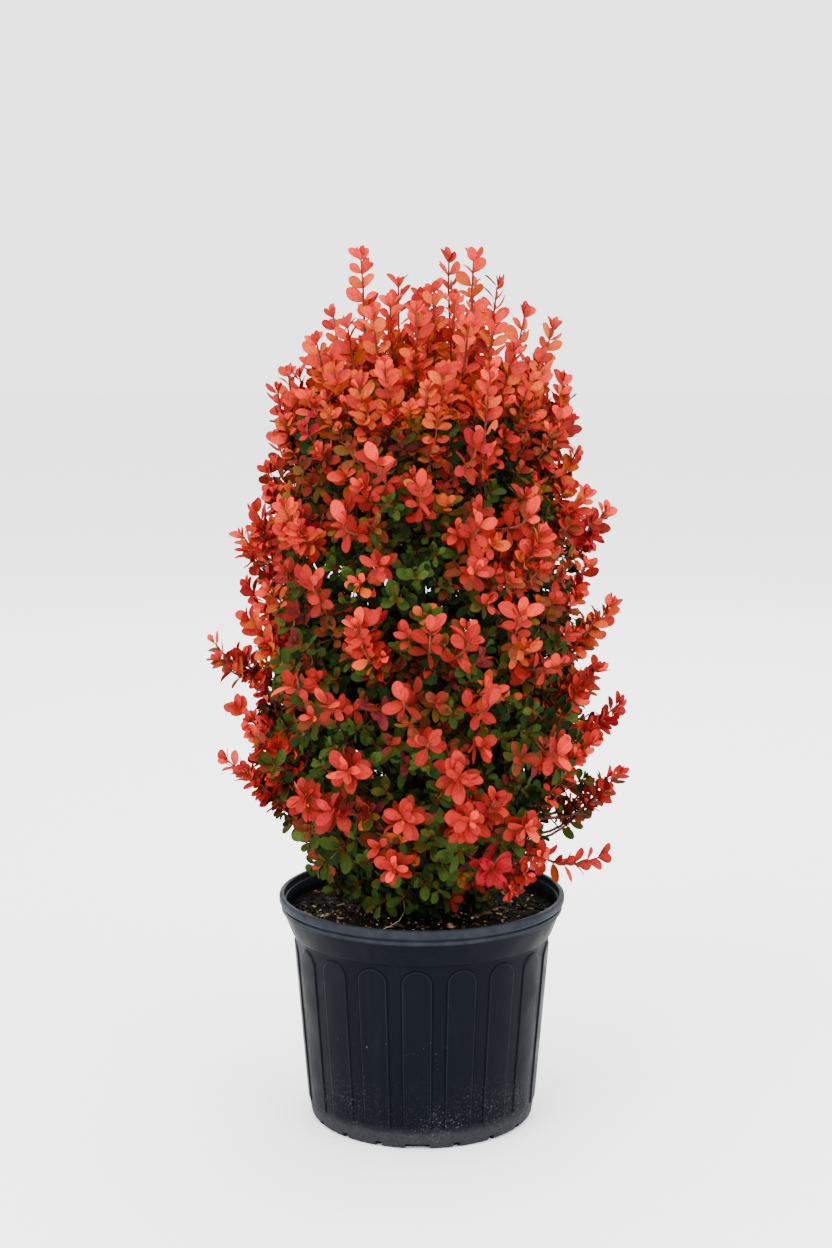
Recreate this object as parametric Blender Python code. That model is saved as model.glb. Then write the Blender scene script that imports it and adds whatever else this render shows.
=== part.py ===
"""An upright japanese barberry in a nursery pot: pot, growing mix, short stem, boughs and foliage.

Metres, +Z up. The origin is the middle of the pot's flat underside, and the front is -Y.
"""

import math
import random

import bmesh
import bpy
import numpy as np
from mathutils import Matrix, Vector

# Pot
POT_HEIGHT = 0.2235
RIM_RADIUS = 0.1400
LIP_HEIGHT = 0.0085
LIP_WIDTH = 0.0052
LIP_CORNER = 0.0026
LIP_BEVEL = 0.0012
UNDERSIDE_RADIUS = 0.1050
FOOT_RADIUS = 0.1118
FOOT_HEIGHT = 0.0165
FOOT_CORNER = 0.0048
BODY_BASE_RADIUS = 0.1115
BODY_TOP_RADIUS = 0.1250
BODY_TOP = 0.1835
COLLAR_BASE_RADIUS = 0.1280
COLLAR_TOP_RADIUS = 0.1365
COLLAR_BASE = 0.1870
COLLAR_TOP = 0.2087
WALL = 0.0022
FLOOR = 0.0040
FLUTES = 18
FLUTE_RISE = 0.0013
FLUTE_BASE = 0.0186
FLUTE_TOP = 0.1800
FLUTE_SHARE = 0.66
FRONT_FLUTE_BEARING = math.radians(-92.3)
DRAIN_HEIGHT = 0.0055
DRAIN_INNER_RADIUS = 0.1010
DRAIN_OUTER_RADIUS = 0.1160
DRAIN_WIDTH = 0.0064
WIDE_DRAIN_WIDTH = 0.0240
WIDE_DRAIN_EVERY = 6

# Growing mix
MIX_EDGE_LEVEL = 0.2050
MIX_LEVEL = 0.2080
MIX_FLAT_RADIUS = 0.036
MIX_SHOULDER_RADIUS = 0.086
MIX_SHOULDER_LEVEL = 0.2070
MIX_SIDES = 27
CLEARANCE = 0.0003

# Crown: (height, radius) of its outline from the foot to the dome
CROWN_STATIONS = (
    (0.222, 0.088),
    (0.250, 0.116),
    (0.300, 0.148),
    (0.370, 0.168),
    (0.450, 0.170),
    (0.550, 0.160),
    (0.650, 0.146),
    (0.720, 0.128),
    (0.775, 0.100),
    (0.812, 0.062),
    (0.832, 0.010),
)
CROWN_SAMPLES = 400
GOLDEN_ANGLE = math.pi * (3 - math.sqrt(5))
SHOOT_COUNT = 66
REACH_SPREAD = 0.06
SHOOT_TILTS = (6, 34, 42)
TIP_INSET = 0.033
LONG_TIP_INSET = 0.045
CORE_SHARE = (0.66, 0.78)
CORE_FILL = (0.86, 0.98)
CORE_HEADROOM = 0.034
CORE_STEP = 0.002
SPACE_GAP = 0.0010
STAGGER = 0.020

# Shoots that stand out of the crown: bearing in degrees, height and reach of the furthest leaf
LONG_SHOOTS = (
    (171, 0.458, 0.2080),
    (184, 0.352, 0.1945),
    (176, 0.570, 0.1714),
    (182, 0.712, 0.1500),
    (-4, 0.339, 0.1989),
    (10, 0.400, 0.1990),
    (-9, 0.512, 0.1840),
    (4, 0.601, 0.1787),
    (-6, 0.710, 0.1490),
    (-12, 0.256, 0.1830),
    (205, 0.848, 0.0745),
    (262, 0.822, 0.0400),
    (-48, 0.843, 0.0340),
    (28, 0.844, 0.0591),
    (-10, 0.820, 0.0790),
    (10, 0.784, 0.1330),
    (168, 0.792, 0.0930),
    (62, 0.480, 0.1900),
    (98, 0.640, 0.1700),
    (130, 0.380, 0.1900),
    (250, 0.520, 0.1850),
    (292, 0.360, 0.1850),
)

# Stem and boughs
STEM_SIDES = 12
STEM_RINGS = (
    (0.0000, 0.0260),
    (0.0060, 0.0200),
    (0.0260, 0.0175),
    (0.0620, 0.0165),
    (0.0760, 0.0140),
)
FLARE_LOBES = 5
FLARE_DEPTH = 0.16
STUB_DEPTH = 0.0060
STUB_LENGTH = 0.0140
BOUGH_SIDES = 6
BOUGH_BASE_RADIUS = 0.0044
BOUGH_TIP_RADIUS = 0.0034
BOUGH_STEPS = 4
GATE_GAP = 0.0035

# Tiers of foliage, from the foot up. Bearings and tilts are in degrees. A stub leaves the stem at
# (radius, height above the mix, tilt), a bough ends at its gate (radius, height, tilt), and the heart
# (radius, height) is the middle of the mass.
TIERS = (
    {"name": "low", "count": 5, "first": 54, "stub": (0.013, 0.024, 30), "gate": (0.044, 0.262, 42),
     "heart": (0.080, 0.302), "finish": "green_foliage"},
    {"name": "mid", "count": 6, "first": 30, "stub": (0.012, 0.050, 50), "gate": (0.040, 0.420, 50),
     "heart": (0.084, 0.450), "finish": "amber_foliage"},
    {"name": "high", "count": 5, "first": -18, "stub": (0.009, 0.073, 80), "gate": (0.034, 0.572, 60),
     "heart": (0.076, 0.618), "finish": "coral_foliage"},
    {"name": "top", "count": 1, "first": 0, "stub": (0.000, 0.073, 90), "gate": (0.000, 0.684, 90),
     "heart": (0.000, 0.756), "finish": "coral_foliage"},
)

# Leaves and twigs
LEAF_LENGTH = 0.047
LEAF_WIDTH = 0.031
LEAF_THICKNESS = 0.0016
LEAF_WIDEST = 0.60
LEAF_THICKEST = 0.38
LEAF_ROOT_DEPTH = 0.0003
TWIG_BASE_RADIUS = 0.0019
TWIG_TIP_RADIUS = 0.0014
TWIG_STEPS = 2
TWIG_START = (0.2, 0.9)
SHOOT_LEAVES = 4
FIRST_LEAF_BACK = 0.0020
LEAF_SPACING = 0.0062
TOP_LEAF_SPREAD = 36
LOWEST_LEAF_SPREAD = 68
LEADING_LEAF_SPREAD = 10
LEAF_TURNS = 5
LEAF_ROLL = 0.3
WELD_DISTANCE = 0.0000002
SEEDS_TRIED = 12

MATERIALS = {
    "pot_plastic": ((0.016, 0.018, 0.024), 0.42),
    "growing_mix": ((0.030, 0.019, 0.012), 0.95),
    "bark": ((0.110, 0.060, 0.036), 0.80),
    "coral_foliage": ((0.640, 0.090, 0.050), 0.55),
    "amber_foliage": ((0.450, 0.120, 0.035), 0.55),
    "green_foliage": ((0.130, 0.120, 0.030), 0.55),
}


def clear_scene():
    for obj in list(bpy.data.objects):
        bpy.data.objects.remove(obj)


def make_material(name):
    colour, roughness = MATERIALS[name]
    material = bpy.data.materials.new(name)
    material.use_nodes = True
    shader = material.node_tree.nodes["Principled BSDF"]
    shader.inputs["Base Color"].default_value = (*colour, 1.0)
    shader.inputs["Roughness"].default_value = roughness
    shader.inputs["Metallic"].default_value = 0.0
    return material


def mesh_from(bm, name):
    """Turns a bmesh into a mesh with its faces pointing out."""
    bmesh.ops.recalc_face_normals(bm, faces=bm.faces)
    mesh = bpy.data.meshes.new(name)
    bm.to_mesh(mesh)
    bm.free()
    return mesh


def finish_object(name, bm, material, smooth_angle=None):
    """Turns a bmesh into a linked object with one material."""
    mesh = mesh_from(bm, name)
    if smooth_angle is not None:
        mesh.shade_smooth()
        mesh.set_sharp_from_angle(angle=smooth_angle)
    mesh.materials.append(material)
    obj = bpy.data.objects.new(name, mesh)
    bpy.context.scene.collection.objects.link(obj)
    return obj


def new_collection(name):
    collection = bpy.data.collections.new(name)
    bpy.context.scene.collection.children.link(collection)
    return collection


def link_piece(bm, name, collection):
    """Puts a bmesh into a collection as one more piece for a Boolean."""
    collection.objects.link(bpy.data.objects.new(name, mesh_from(bm, name)))


def combine(obj, collection, operation, solver):
    """Applies one Boolean on a collection to obj, then removes the collection and its objects."""
    modifier = obj.modifiers.new(operation.lower(), "BOOLEAN")
    modifier.operand_type = "COLLECTION"
    modifier.collection = collection
    modifier.operation = operation
    modifier.solver = solver
    bpy.context.view_layer.update()
    graph = bpy.context.evaluated_depsgraph_get()
    combined = bpy.data.meshes.new_from_object(obj.evaluated_get(graph))
    obj.modifiers.clear()
    obj.data = combined
    for member in list(collection.objects):
        bpy.data.objects.remove(member)
    bpy.data.collections.remove(collection)


def polar(radius, bearing, height):
    return Vector((radius * math.cos(bearing), radius * math.sin(bearing), height))


def tilted(bearing, tilt):
    """A unit vector that points along a bearing and climbs by tilt."""
    return polar(math.cos(tilt), bearing, math.sin(tilt))


def turns(count):
    return [2 * math.pi * i / count for i in range(count)]


def add_lathe(bm, profile, bearings, rise=lambda column, row: 0.0):
    """Joins rings of vertices round Z into quads, with a fan where the profile meets the axis."""
    rings = []
    for row, (radius, height) in enumerate(profile):
        if radius == 0.0:
            rings.append([bm.verts.new((0.0, 0.0, height))])
            continue
        rings.append([
            bm.verts.new(polar(radius + rise(column, row), bearing, height))
            for column, bearing in enumerate(bearings)
        ])
    count = len(bearings)
    for lower, upper in zip(rings, rings[1:]):
        for i in range(count):
            j = (i + 1) % count
            near, far = [lower[k % len(lower)] for k in (i, j)], [upper[k % len(upper)] for k in (j, i)]
            bm.faces.new(list(dict.fromkeys(near + far)))


def arc(centre, radius, start, end, steps):
    """Points (r, z) on an arc of the profile plane, with angles in degrees."""
    angles = [math.radians(start + (end - start) * i / steps) for i in range(steps + 1)]
    return [(centre[0] + radius * math.cos(a), centre[1] + radius * math.sin(a)) for a in angles]


def body_radius(height):
    """Outer radius of the tapering body in its grooves, between the foot and the collar."""
    share = (height - FOOT_HEIGHT) / (BODY_TOP - FOOT_HEIGHT)
    return BODY_BASE_RADIUS + share * (BODY_TOP_RADIUS - BODY_BASE_RADIUS)


def pot_outer_profile():
    """(r, z) from the underside's middle, up the outside, to the top of the lip."""
    foot = arc((UNDERSIDE_RADIUS, FOOT_CORNER), FOOT_CORNER, -90, -10, 2)
    lip_middle = RIM_RADIUS - LIP_CORNER
    lip_base = POT_HEIGHT - LIP_HEIGHT
    lip = arc((lip_middle, lip_base + LIP_CORNER), LIP_CORNER, -80, 0, 1)
    lip += arc((lip_middle, POT_HEIGHT - LIP_CORNER), LIP_CORNER, 0, 90, 2)
    body = [(body_radius(height), height) for height in (FLUTE_BASE, FLUTE_TOP)]
    neck = [
        (BODY_TOP_RADIUS, BODY_TOP),
        (COLLAR_BASE_RADIUS, COLLAR_BASE),
        (COLLAR_TOP_RADIUS, COLLAR_TOP),
        (COLLAR_TOP_RADIUS + CLEARANCE, lip_base),
    ]
    return [(0.0, 0.0)] + foot + [(FOOT_RADIUS, FOOT_HEIGHT)] + body + neck + lip


def pot_inner_profile():
    """(r, z) from the lip's inner edge down to the middle of the floor."""
    return [
        (RIM_RADIUS - LIP_WIDTH, POT_HEIGHT - LIP_BEVEL),
        (COLLAR_TOP_RADIUS - WALL - LIP_BEVEL, COLLAR_TOP),
        (BODY_TOP_RADIUS - WALL, BODY_TOP + WALL),
        (BODY_BASE_RADIUS - WALL, FOOT_HEIGHT),
        (UNDERSIDE_RADIUS, FLOOR),
        (0.0, FLOOR),
    ]


def flute_bearings():
    """Two columns on the edges of each raised flute and one in the groove beside it."""
    pitch = 2 * math.pi / FLUTES
    half = pitch * FLUTE_SHARE / 2
    return [
        FRONT_FLUTE_BEARING + flute * pitch + turn
        for flute in range(FLUTES)
        for turn in (-half, half, pitch / 2)
    ]


def add_drain_cutters(collection):
    """One slot through the pot's bottom corner under each flute, wider under every sixth."""
    depth = DRAIN_OUTER_RADIUS - DRAIN_INNER_RADIUS
    middle = Matrix.Translation(((DRAIN_OUTER_RADIUS + DRAIN_INNER_RADIUS) / 2, 0, 0))
    for flute in range(FLUTES):
        bearing = FRONT_FLUTE_BEARING + flute * 2 * math.pi / FLUTES
        width = WIDE_DRAIN_WIDTH if flute % WIDE_DRAIN_EVERY == 0 else DRAIN_WIDTH
        bm = bmesh.new()
        bmesh.ops.create_cube(bm, size=1.0)
        scale = Matrix.Diagonal((depth, width, 2 * DRAIN_HEIGHT, 1.0))
        bmesh.ops.transform(bm, matrix=Matrix.Rotation(bearing, 4, "Z") @ middle @ scale, verts=bm.verts)
        link_piece(bm, "drain_cutter", collection)


def build_pot(materials):
    outer = pot_outer_profile()
    flute_rows = [row for row, (radius, height) in enumerate(outer) if height in (FLUTE_BASE, FLUTE_TOP)]

    def rise(column, row):
        return FLUTE_RISE if row in flute_rows and column % 3 != 2 else 0.0

    bm = bmesh.new()
    add_lathe(bm, outer + pot_inner_profile(), flute_bearings(), rise)
    pot = finish_object("pot", bm, materials["pot_plastic"], smooth_angle=math.radians(25))
    cutters = new_collection("drain_cutters")
    add_drain_cutters(cutters)
    combine(pot, cutters, "DIFFERENCE", "EXACT")


def build_growing_mix(materials):
    """Fills the pot inside its wall, and rises a little towards the stem."""
    flat_side = math.cos(math.pi / FLUTES * FLUTE_SHARE)
    wall = [(radius, height) for radius, height in reversed(pot_inner_profile()) if radius > 0.0]
    heights = [height for radius, height in wall]
    radii = [radius for radius, height in wall]
    covered = [(radius, height) for radius, height in wall if height < MIX_EDGE_LEVEL]
    sides = [(radius * flat_side - CLEARANCE, height) for radius, height in covered]
    sides[0] = (sides[0][0], FLOOR + CLEARANCE)
    edge = float(np.interp(MIX_EDGE_LEVEL, heights, radii)) * flat_side - CLEARANCE
    surface = [
        (edge, MIX_EDGE_LEVEL),
        (MIX_SHOULDER_RADIUS, MIX_SHOULDER_LEVEL),
        (MIX_FLAT_RADIUS, MIX_LEVEL),
        (0.0, MIX_LEVEL),
    ]
    profile = [(0.0, FLOOR + CLEARANCE)] + sides + surface
    bm = bmesh.new()
    add_lathe(bm, profile, turns(MIX_SIDES))
    finish_object("growing_mix", bm, materials["growing_mix"], smooth_angle=math.radians(40))


def bend(start, start_way, end, end_way, steps, stiffness=0.24):
    """(point, direction) along a smooth curve that leaves along start_way and arrives along end_way."""
    reach = (end - start).length * stiffness
    corners = (start, start + start_way * reach, end - end_way * reach, end)
    path = []
    for i in range(steps + 1):
        t = i / steps
        s = 1 - t
        weights = (s**3, 3 * t * s * s, 3 * t * t * s, t**3)
        point = sum((corner * weight for corner, weight in zip(corners, weights)), Vector())
        slopes = (-s * s, s * s - 2 * t * s, 2 * t * s - t * t, t * t)
        way = sum((corner * slope for corner, slope in zip(corners, slopes)), Vector())
        path.append((point, way.normalized()))
    return path


def tapered(first, last, steps):
    return [first + (last - first) * i / steps for i in range(steps + 1)]


def add_limb(bm, path, radii, sides):
    """A tube along a path of (point, direction), with flat ends."""
    side = path[0][1].orthogonal().normalized()
    rings = []
    for (point, way), radius in zip(path, radii):
        side = (side - way * side.dot(way)).normalized()
        across = way.cross(side)
        rings.append([
            bm.verts.new(point + radius * (side * math.cos(turn) + across * math.sin(turn)))
            for turn in turns(sides)
        ])
    for lower, upper in zip(rings, rings[1:]):
        for i in range(sides):
            j = (i + 1) % sides
            bm.faces.new((lower[i], lower[j], upper[j], upper[i]))
    bm.faces.new(rings[0][::-1])
    bm.faces.new(rings[-1])


def crown_radius(height):
    heights, radii = zip(*CROWN_STATIONS)
    return float(np.interp(height, heights, radii))


def inside_core(point, share):
    """True within that share of the crown's radius, and below its top by the headroom."""
    height = point.z + CORE_HEADROOM
    return height < CROWN_STATIONS[-1][0] and math.hypot(point.x, point.y) < crown_radius(height) * share


class Mass:
    """One mass of foliage: its heart, and the gate where its bough ends and its own stem begins."""

    def __init__(self, tier, number):
        bearing = math.radians(tier["first"] + 360 * number / tier["count"])
        stub_radius, stub_height, stub_tilt = tier["stub"]
        gate_radius, gate_height, gate_tilt = tier["gate"]
        heart_radius, heart_height = tier["heart"]
        lift = STAGGER * math.cos(4 * math.pi * number / tier["count"]) if tier["count"] > 1 else 0.0
        self.name = f"{tier['name']}_{number + 1}" if tier["count"] > 1 else tier["name"]
        self.finish = tier["finish"]
        self.heart = polar(heart_radius, bearing, heart_height + lift)
        self.gate = polar(gate_radius, bearing, gate_height + lift / 2)
        self.gate_way = tilted(bearing, math.radians(gate_tilt))
        self.wall_way = tilted(bearing, 0.0) if heart_radius > 0.0 else Vector((0, 0, 1))
        self.stub_root = polar(stub_radius, bearing, MIX_LEVEL + CLEARANCE + stub_height)
        self.stub_way = tilted(bearing, math.radians(stub_tilt))
        self.random = None

    def past_wall(self, point):
        """How far a point is beyond the wall that keeps the foliage clear of the boughs."""
        return (point - self.gate).dot(self.wall_way) - GATE_GAP

    def stub_end(self):
        return self.stub_root + self.stub_way * STUB_LENGTH

    def bough_path(self):
        start = self.stub_end() + self.stub_way * CLEARANCE
        return bend(start, self.stub_way, self.gate, self.gate_way, BOUGH_STEPS)

    def stem_path(self):
        """The mass's own stem, from just past the bough's end to the heart."""
        start = self.gate + self.gate_way * CLEARANCE
        return bend(start, self.gate_way, self.heart, (self.heart - self.gate).normalized(), TWIG_STEPS)


def all_masses():
    return [Mass(tier, number) for tier in TIERS for number in range(tier["count"])]


def clear_of_pot(point):
    """True above the growing mix and, further out, above the rim."""
    over_wall = math.hypot(point.x, point.y) > RIM_RADIUS - 4 * LIP_WIDTH
    lowest = POT_HEIGHT if over_wall else MIX_LEVEL
    return point.z > lowest + GATE_GAP


def in_space(point, mass, masses):
    """True if the point is in the mass's own space: beyond its wall and nearest to its heart."""
    if mass.past_wall(point) < 0.0 or not clear_of_pot(point):
        return False
    own = (point - mass.heart).length_squared
    return all(
        (point - other.heart).length_squared - own > 2 * (other.heart - mass.heart).length * SPACE_GAP
        for other in masses if other is not mass
    )


def build_stem(masses, materials):
    """A short stem with a lobed flare on a flat cut, and one stub for each bough."""
    foot = MIX_LEVEL + CLEARANCE
    flare_top = STEM_RINGS[2][0]
    bm = bmesh.new()
    rings = []
    for height, radius in STEM_RINGS:
        lobes = FLARE_DEPTH * max(0.0, 1 - height / flare_top)
        rings.append([
            bm.verts.new(polar(radius * (1 + lobes * math.cos(FLARE_LOBES * turn)), turn, foot + height))
            for turn in turns(STEM_SIDES)
        ])
    for lower, upper in zip(rings, rings[1:]):
        for i in range(STEM_SIDES):
            j = (i + 1) % STEM_SIDES
            bm.faces.new((lower[i], lower[j], upper[j], upper[i]))
    bm.faces.new(rings[0][::-1])
    bm.faces.new(rings[-1])
    stem = finish_object("stem", bm, materials["bark"])
    stubs = new_collection("stubs")
    for mass in masses:
        stub = bmesh.new()
        sunk = mass.stub_root - mass.stub_way * STUB_DEPTH
        path = [(point, mass.stub_way) for point in (sunk, mass.stub_end())]
        add_limb(stub, path, [BOUGH_BASE_RADIUS] * 2, BOUGH_SIDES)
        link_piece(stub, "stub", stubs)
    combine(stem, stubs, "UNION", "EXACT")


def build_bough(mass, materials):
    bm = bmesh.new()
    radii = tapered(BOUGH_BASE_RADIUS, BOUGH_TIP_RADIUS, BOUGH_STEPS)
    add_limb(bm, mass.bough_path(), radii, BOUGH_SIDES)
    finish_object(f"bough_{mass.name}", bm, materials["bark"], smooth_angle=math.radians(50))


def crown_spots(count):
    """Places spread evenly over the crown by the golden angle: (bearing, height, radius)."""
    heights = np.linspace(CROWN_STATIONS[0][0], CROWN_STATIONS[-1][0], CROWN_SAMPLES)
    radii = np.array([crown_radius(height) for height in heights])
    stretch = np.hypot(np.diff(heights), np.diff(radii))
    area = np.concatenate([[0.0], np.cumsum(stretch * (radii[1:] + radii[:-1]) / 2)])
    spots = []
    for i in range(count):
        height = float(np.interp((i + 0.5) / count * area[-1], area, heights))
        spots.append((i * GOLDEN_ANGLE, height, crown_radius(height)))
    return spots


def shoot_tilt(height):
    """How steeply a shoot's tip climbs: nearly level at the foot and upright at the top."""
    share = (height - CROWN_STATIONS[0][0]) / (CROWN_STATIONS[-1][0] - CROWN_STATIONS[0][0])
    at_foot, further_up, at_top = SHOOT_TILTS
    return math.radians(at_foot + further_up * share + at_top * share**4)


def shoot_ends():
    """(end of the twig, direction, whether a leaf leads it) for each shoot of the crown."""
    spread = random.Random("shoot tips")
    ends = []
    for bearing, height, radius in crown_spots(SHOOT_COUNT):
        way = tilted(bearing, shoot_tilt(height))
        reach = radius * (1 + spread.uniform(-REACH_SPREAD, REACH_SPREAD))
        ends.append((polar(reach, bearing, height) - way * TIP_INSET, way, False))
    for degrees, height, reach in LONG_SHOOTS:
        bearing = math.radians(degrees)
        way = tilted(bearing, shoot_tilt(height))
        ends.append((polar(reach, bearing, height) - way * LONG_TIP_INSET, way, True))
    return ends


def back_from_tip(path, distance):
    """The point that far back along a twig from its tip."""
    points = [point for point, way in path][::-1]
    for upper, lower in zip(points, points[1:]):
        stretch = (upper - lower).length
        if distance <= stretch:
            break
        distance -= stretch
    return upper.lerp(lower, min(1.0, distance / stretch))


def leaf_places(mass, way, led):
    """(distance back from the tip, the ways it may point, the way it faces) for each leaf of a shoot."""
    chance = mass.random
    side = way.orthogonal().normalized()
    around = chance.uniform(0, 2 * math.pi)
    spreads = tapered(TOP_LEAF_SPREAD, LOWEST_LEAF_SPREAD, SHOOT_LEAVES - 1)
    if led:
        spreads.insert(0, LEADING_LEAF_SPREAD)
    leaves = []
    for number, spread in enumerate(spreads):
        lean = math.radians(spread)
        upright = way * math.cos(lean) + side * math.sin(lean)
        first = around + number * GOLDEN_ANGLE
        choices = [Matrix.Rotation(first + turn, 3, way) @ upright for turn in turns(LEAF_TURNS)]
        back = FIRST_LEAF_BACK + number * LEAF_SPACING
        leaves.append((back, choices, way + side * chance.uniform(-LEAF_ROLL, LEAF_ROLL)))
    return leaves


def leaf_frame(root, along, face):
    """The leaf's tip, the two corners of its widest part, and the unit vector that it faces."""
    across = along.cross(face).normalized()
    waist = root + along * (LEAF_LENGTH * LEAF_WIDEST)
    half = across * (LEAF_WIDTH / 2)
    return root + along * LEAF_LENGTH, waist - half, waist + half, across.cross(along).normalized()


def add_leaf(bm, root, along, face):
    """A kite-shaped blade of eight faces: widest past its middle and thickest nearer its root."""
    tip, left, right, face = leaf_frame(root, along, face)
    thick = root + along * (LEAF_LENGTH * LEAF_THICKEST)
    corners = [bm.verts.new(corner) for corner in (root, left, tip, right)]
    for middle in (thick + face * LEAF_THICKNESS / 2, thick - face * LEAF_THICKNESS / 2):
        top = bm.verts.new(middle)
        for i in range(4):
            bm.faces.new((corners[i], corners[(i + 1) % 4], top))


def leaf_fits(root, along, face, mass, masses):
    """True if the whole blade stays in the mass's own space."""
    return all(in_space(corner, mass, masses) for corner in leaf_frame(root, along, face)[:3])


def core_mesh(mass, masses):
    """A lumpy core that fills the mass's own space, up to a depth that the leaves stand out of."""
    bm = bmesh.new()
    bmesh.ops.create_icosphere(bm, subdivisions=2, radius=1.0)
    for vert in bm.verts:
        way = vert.co.normalized()
        share = mass.random.uniform(*CORE_SHARE)
        point = mass.heart
        while inside_core(point, share) and in_space(point, mass, masses):
            point = point + way * CORE_STEP
        vert.co = mass.heart.lerp(point, mass.random.uniform(*CORE_FILL))
    return bm


def add_shoot(mass, masses, stem_path, end, way, led, pieces):
    """One twig from the mass's stem to its end, with the leaves that fit round its tip."""
    start = stem_path[-2][0].lerp(mass.heart, mass.random.uniform(*TWIG_START))
    path = bend(start, (end - start).normalized(), end, way, TWIG_STEPS)
    bm = bmesh.new()
    add_limb(bm, path, tapered(TWIG_BASE_RADIUS, TWIG_TIP_RADIUS, TWIG_STEPS), 3)
    link_piece(bm, "twig", pieces)
    leaves = 0
    for back, choices, face in leaf_places(mass, way, led):
        node = back_from_tip(path, back)
        fitting = [along for along in choices if leaf_fits(node, along, face, mass, masses)]
        if fitting:
            bm = bmesh.new()
            add_leaf(bm, node - fitting[0] * LEAF_ROOT_DEPTH, fitting[0], face)
            link_piece(bm, "leaf", pieces)
            leaves += 1
    return leaves


def is_one_closed_body(mesh):
    """True if every edge joins two faces and all of them hang together."""
    bm = bmesh.new()
    bm.from_mesh(mesh)
    bmesh.ops.remove_doubles(bm, verts=bm.verts, dist=WELD_DISTANCE)
    closed = all(len(edge.link_faces) == 2 for edge in bm.edges)
    reached = {bm.verts[:][0]}
    fresh = list(reached)
    while fresh:
        vert = fresh.pop()
        for edge in vert.link_edges:
            other = edge.other_vert(vert)
            if other not in reached:
                reached.add(other)
                fresh.append(other)
    whole = len(reached) == len(bm.verts)
    bm.free()
    return closed and whole


def build_foliage(mass, masses, ends, materials):
    """A core, a stem from the gate, and a leafy twig to each shoot's end that the mass owns.

    Leaves that happen to meet edge to edge spoil the union, so another seed is then tried.
    """
    for attempt in range(SEEDS_TRIED):
        mass.random = random.Random(f"foliage {mass.name} {attempt}")
        core = finish_object(f"foliage_{mass.name}", core_mesh(mass, masses), materials[mass.finish])
        pieces = new_collection(f"pieces_{mass.name}")
        stem_path = mass.stem_path()
        bm = bmesh.new()
        add_limb(bm, stem_path, tapered(BOUGH_TIP_RADIUS, TWIG_BASE_RADIUS, TWIG_STEPS), BOUGH_SIDES)
        link_piece(bm, "mass_stem", pieces)
        leaves = 0
        for end, way, led in ends:
            if in_space(end, mass, masses):
                leaves += add_shoot(mass, masses, stem_path, end, way, led, pieces)
        combine(core, pieces, "UNION", "EXACT")
        if is_one_closed_body(core.data):
            return leaves
        bpy.data.objects.remove(core)
    raise RuntimeError(f"no seed gives foliage_{mass.name} as one closed body")


def main():
    clear_scene()
    materials = {name: make_material(name) for name in MATERIALS}
    masses = all_masses()
    ends = shoot_ends()
    build_pot(materials)
    build_growing_mix(materials)
    build_stem(masses, materials)
    leaves = 0
    for mass in masses:
        build_bough(mass, materials)
        leaves += build_foliage(mass, masses, ends, materials)
    print(f"{leaves} leaves on {len(ends)} shoots")


main()
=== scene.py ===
"""Finishes a japanese barberry in its nursery pot: plastic, growing mix, bark, twigs, leaves and a studio.

Metres, +Z up. The origin is the middle of the pot's flat underside, and the front is -Y.
"""

import collections
import functools
import math
import random

import bmesh
import bpy
import numpy as np
from bpy.props import FloatProperty, FloatVectorProperty, IntProperty, PointerProperty
from mathutils import Matrix, Vector, noise


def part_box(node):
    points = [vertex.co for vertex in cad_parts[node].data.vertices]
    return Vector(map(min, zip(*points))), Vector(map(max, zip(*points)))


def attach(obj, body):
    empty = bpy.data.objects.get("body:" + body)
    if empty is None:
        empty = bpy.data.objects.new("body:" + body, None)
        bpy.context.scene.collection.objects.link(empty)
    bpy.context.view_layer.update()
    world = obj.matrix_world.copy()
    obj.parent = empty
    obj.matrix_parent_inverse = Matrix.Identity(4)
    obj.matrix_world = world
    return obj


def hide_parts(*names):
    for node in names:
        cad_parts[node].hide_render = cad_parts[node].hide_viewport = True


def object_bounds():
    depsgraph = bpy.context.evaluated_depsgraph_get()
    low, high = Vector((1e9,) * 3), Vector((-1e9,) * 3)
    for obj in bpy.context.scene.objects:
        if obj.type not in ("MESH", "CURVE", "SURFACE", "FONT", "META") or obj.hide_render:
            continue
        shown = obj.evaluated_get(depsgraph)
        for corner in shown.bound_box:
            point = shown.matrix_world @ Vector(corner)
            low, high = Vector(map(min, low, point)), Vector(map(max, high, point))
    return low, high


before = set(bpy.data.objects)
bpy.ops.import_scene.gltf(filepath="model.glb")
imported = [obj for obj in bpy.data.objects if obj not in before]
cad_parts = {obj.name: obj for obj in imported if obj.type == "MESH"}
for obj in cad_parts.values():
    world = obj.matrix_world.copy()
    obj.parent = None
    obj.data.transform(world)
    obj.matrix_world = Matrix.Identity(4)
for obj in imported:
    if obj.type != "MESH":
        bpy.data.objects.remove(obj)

bl_info = {
    "name": "Potted Japanese Barberry",
    "version": (1, 0, 0),
    "blender": (4, 5, 0),
    "location": "3D View > Sidebar > Barberry",
    "description": "Grows and finishes a barberry shrub in its nursery pot",
    "category": "Add Mesh",
}

CAD_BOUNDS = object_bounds()
BODY = "root"

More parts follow.
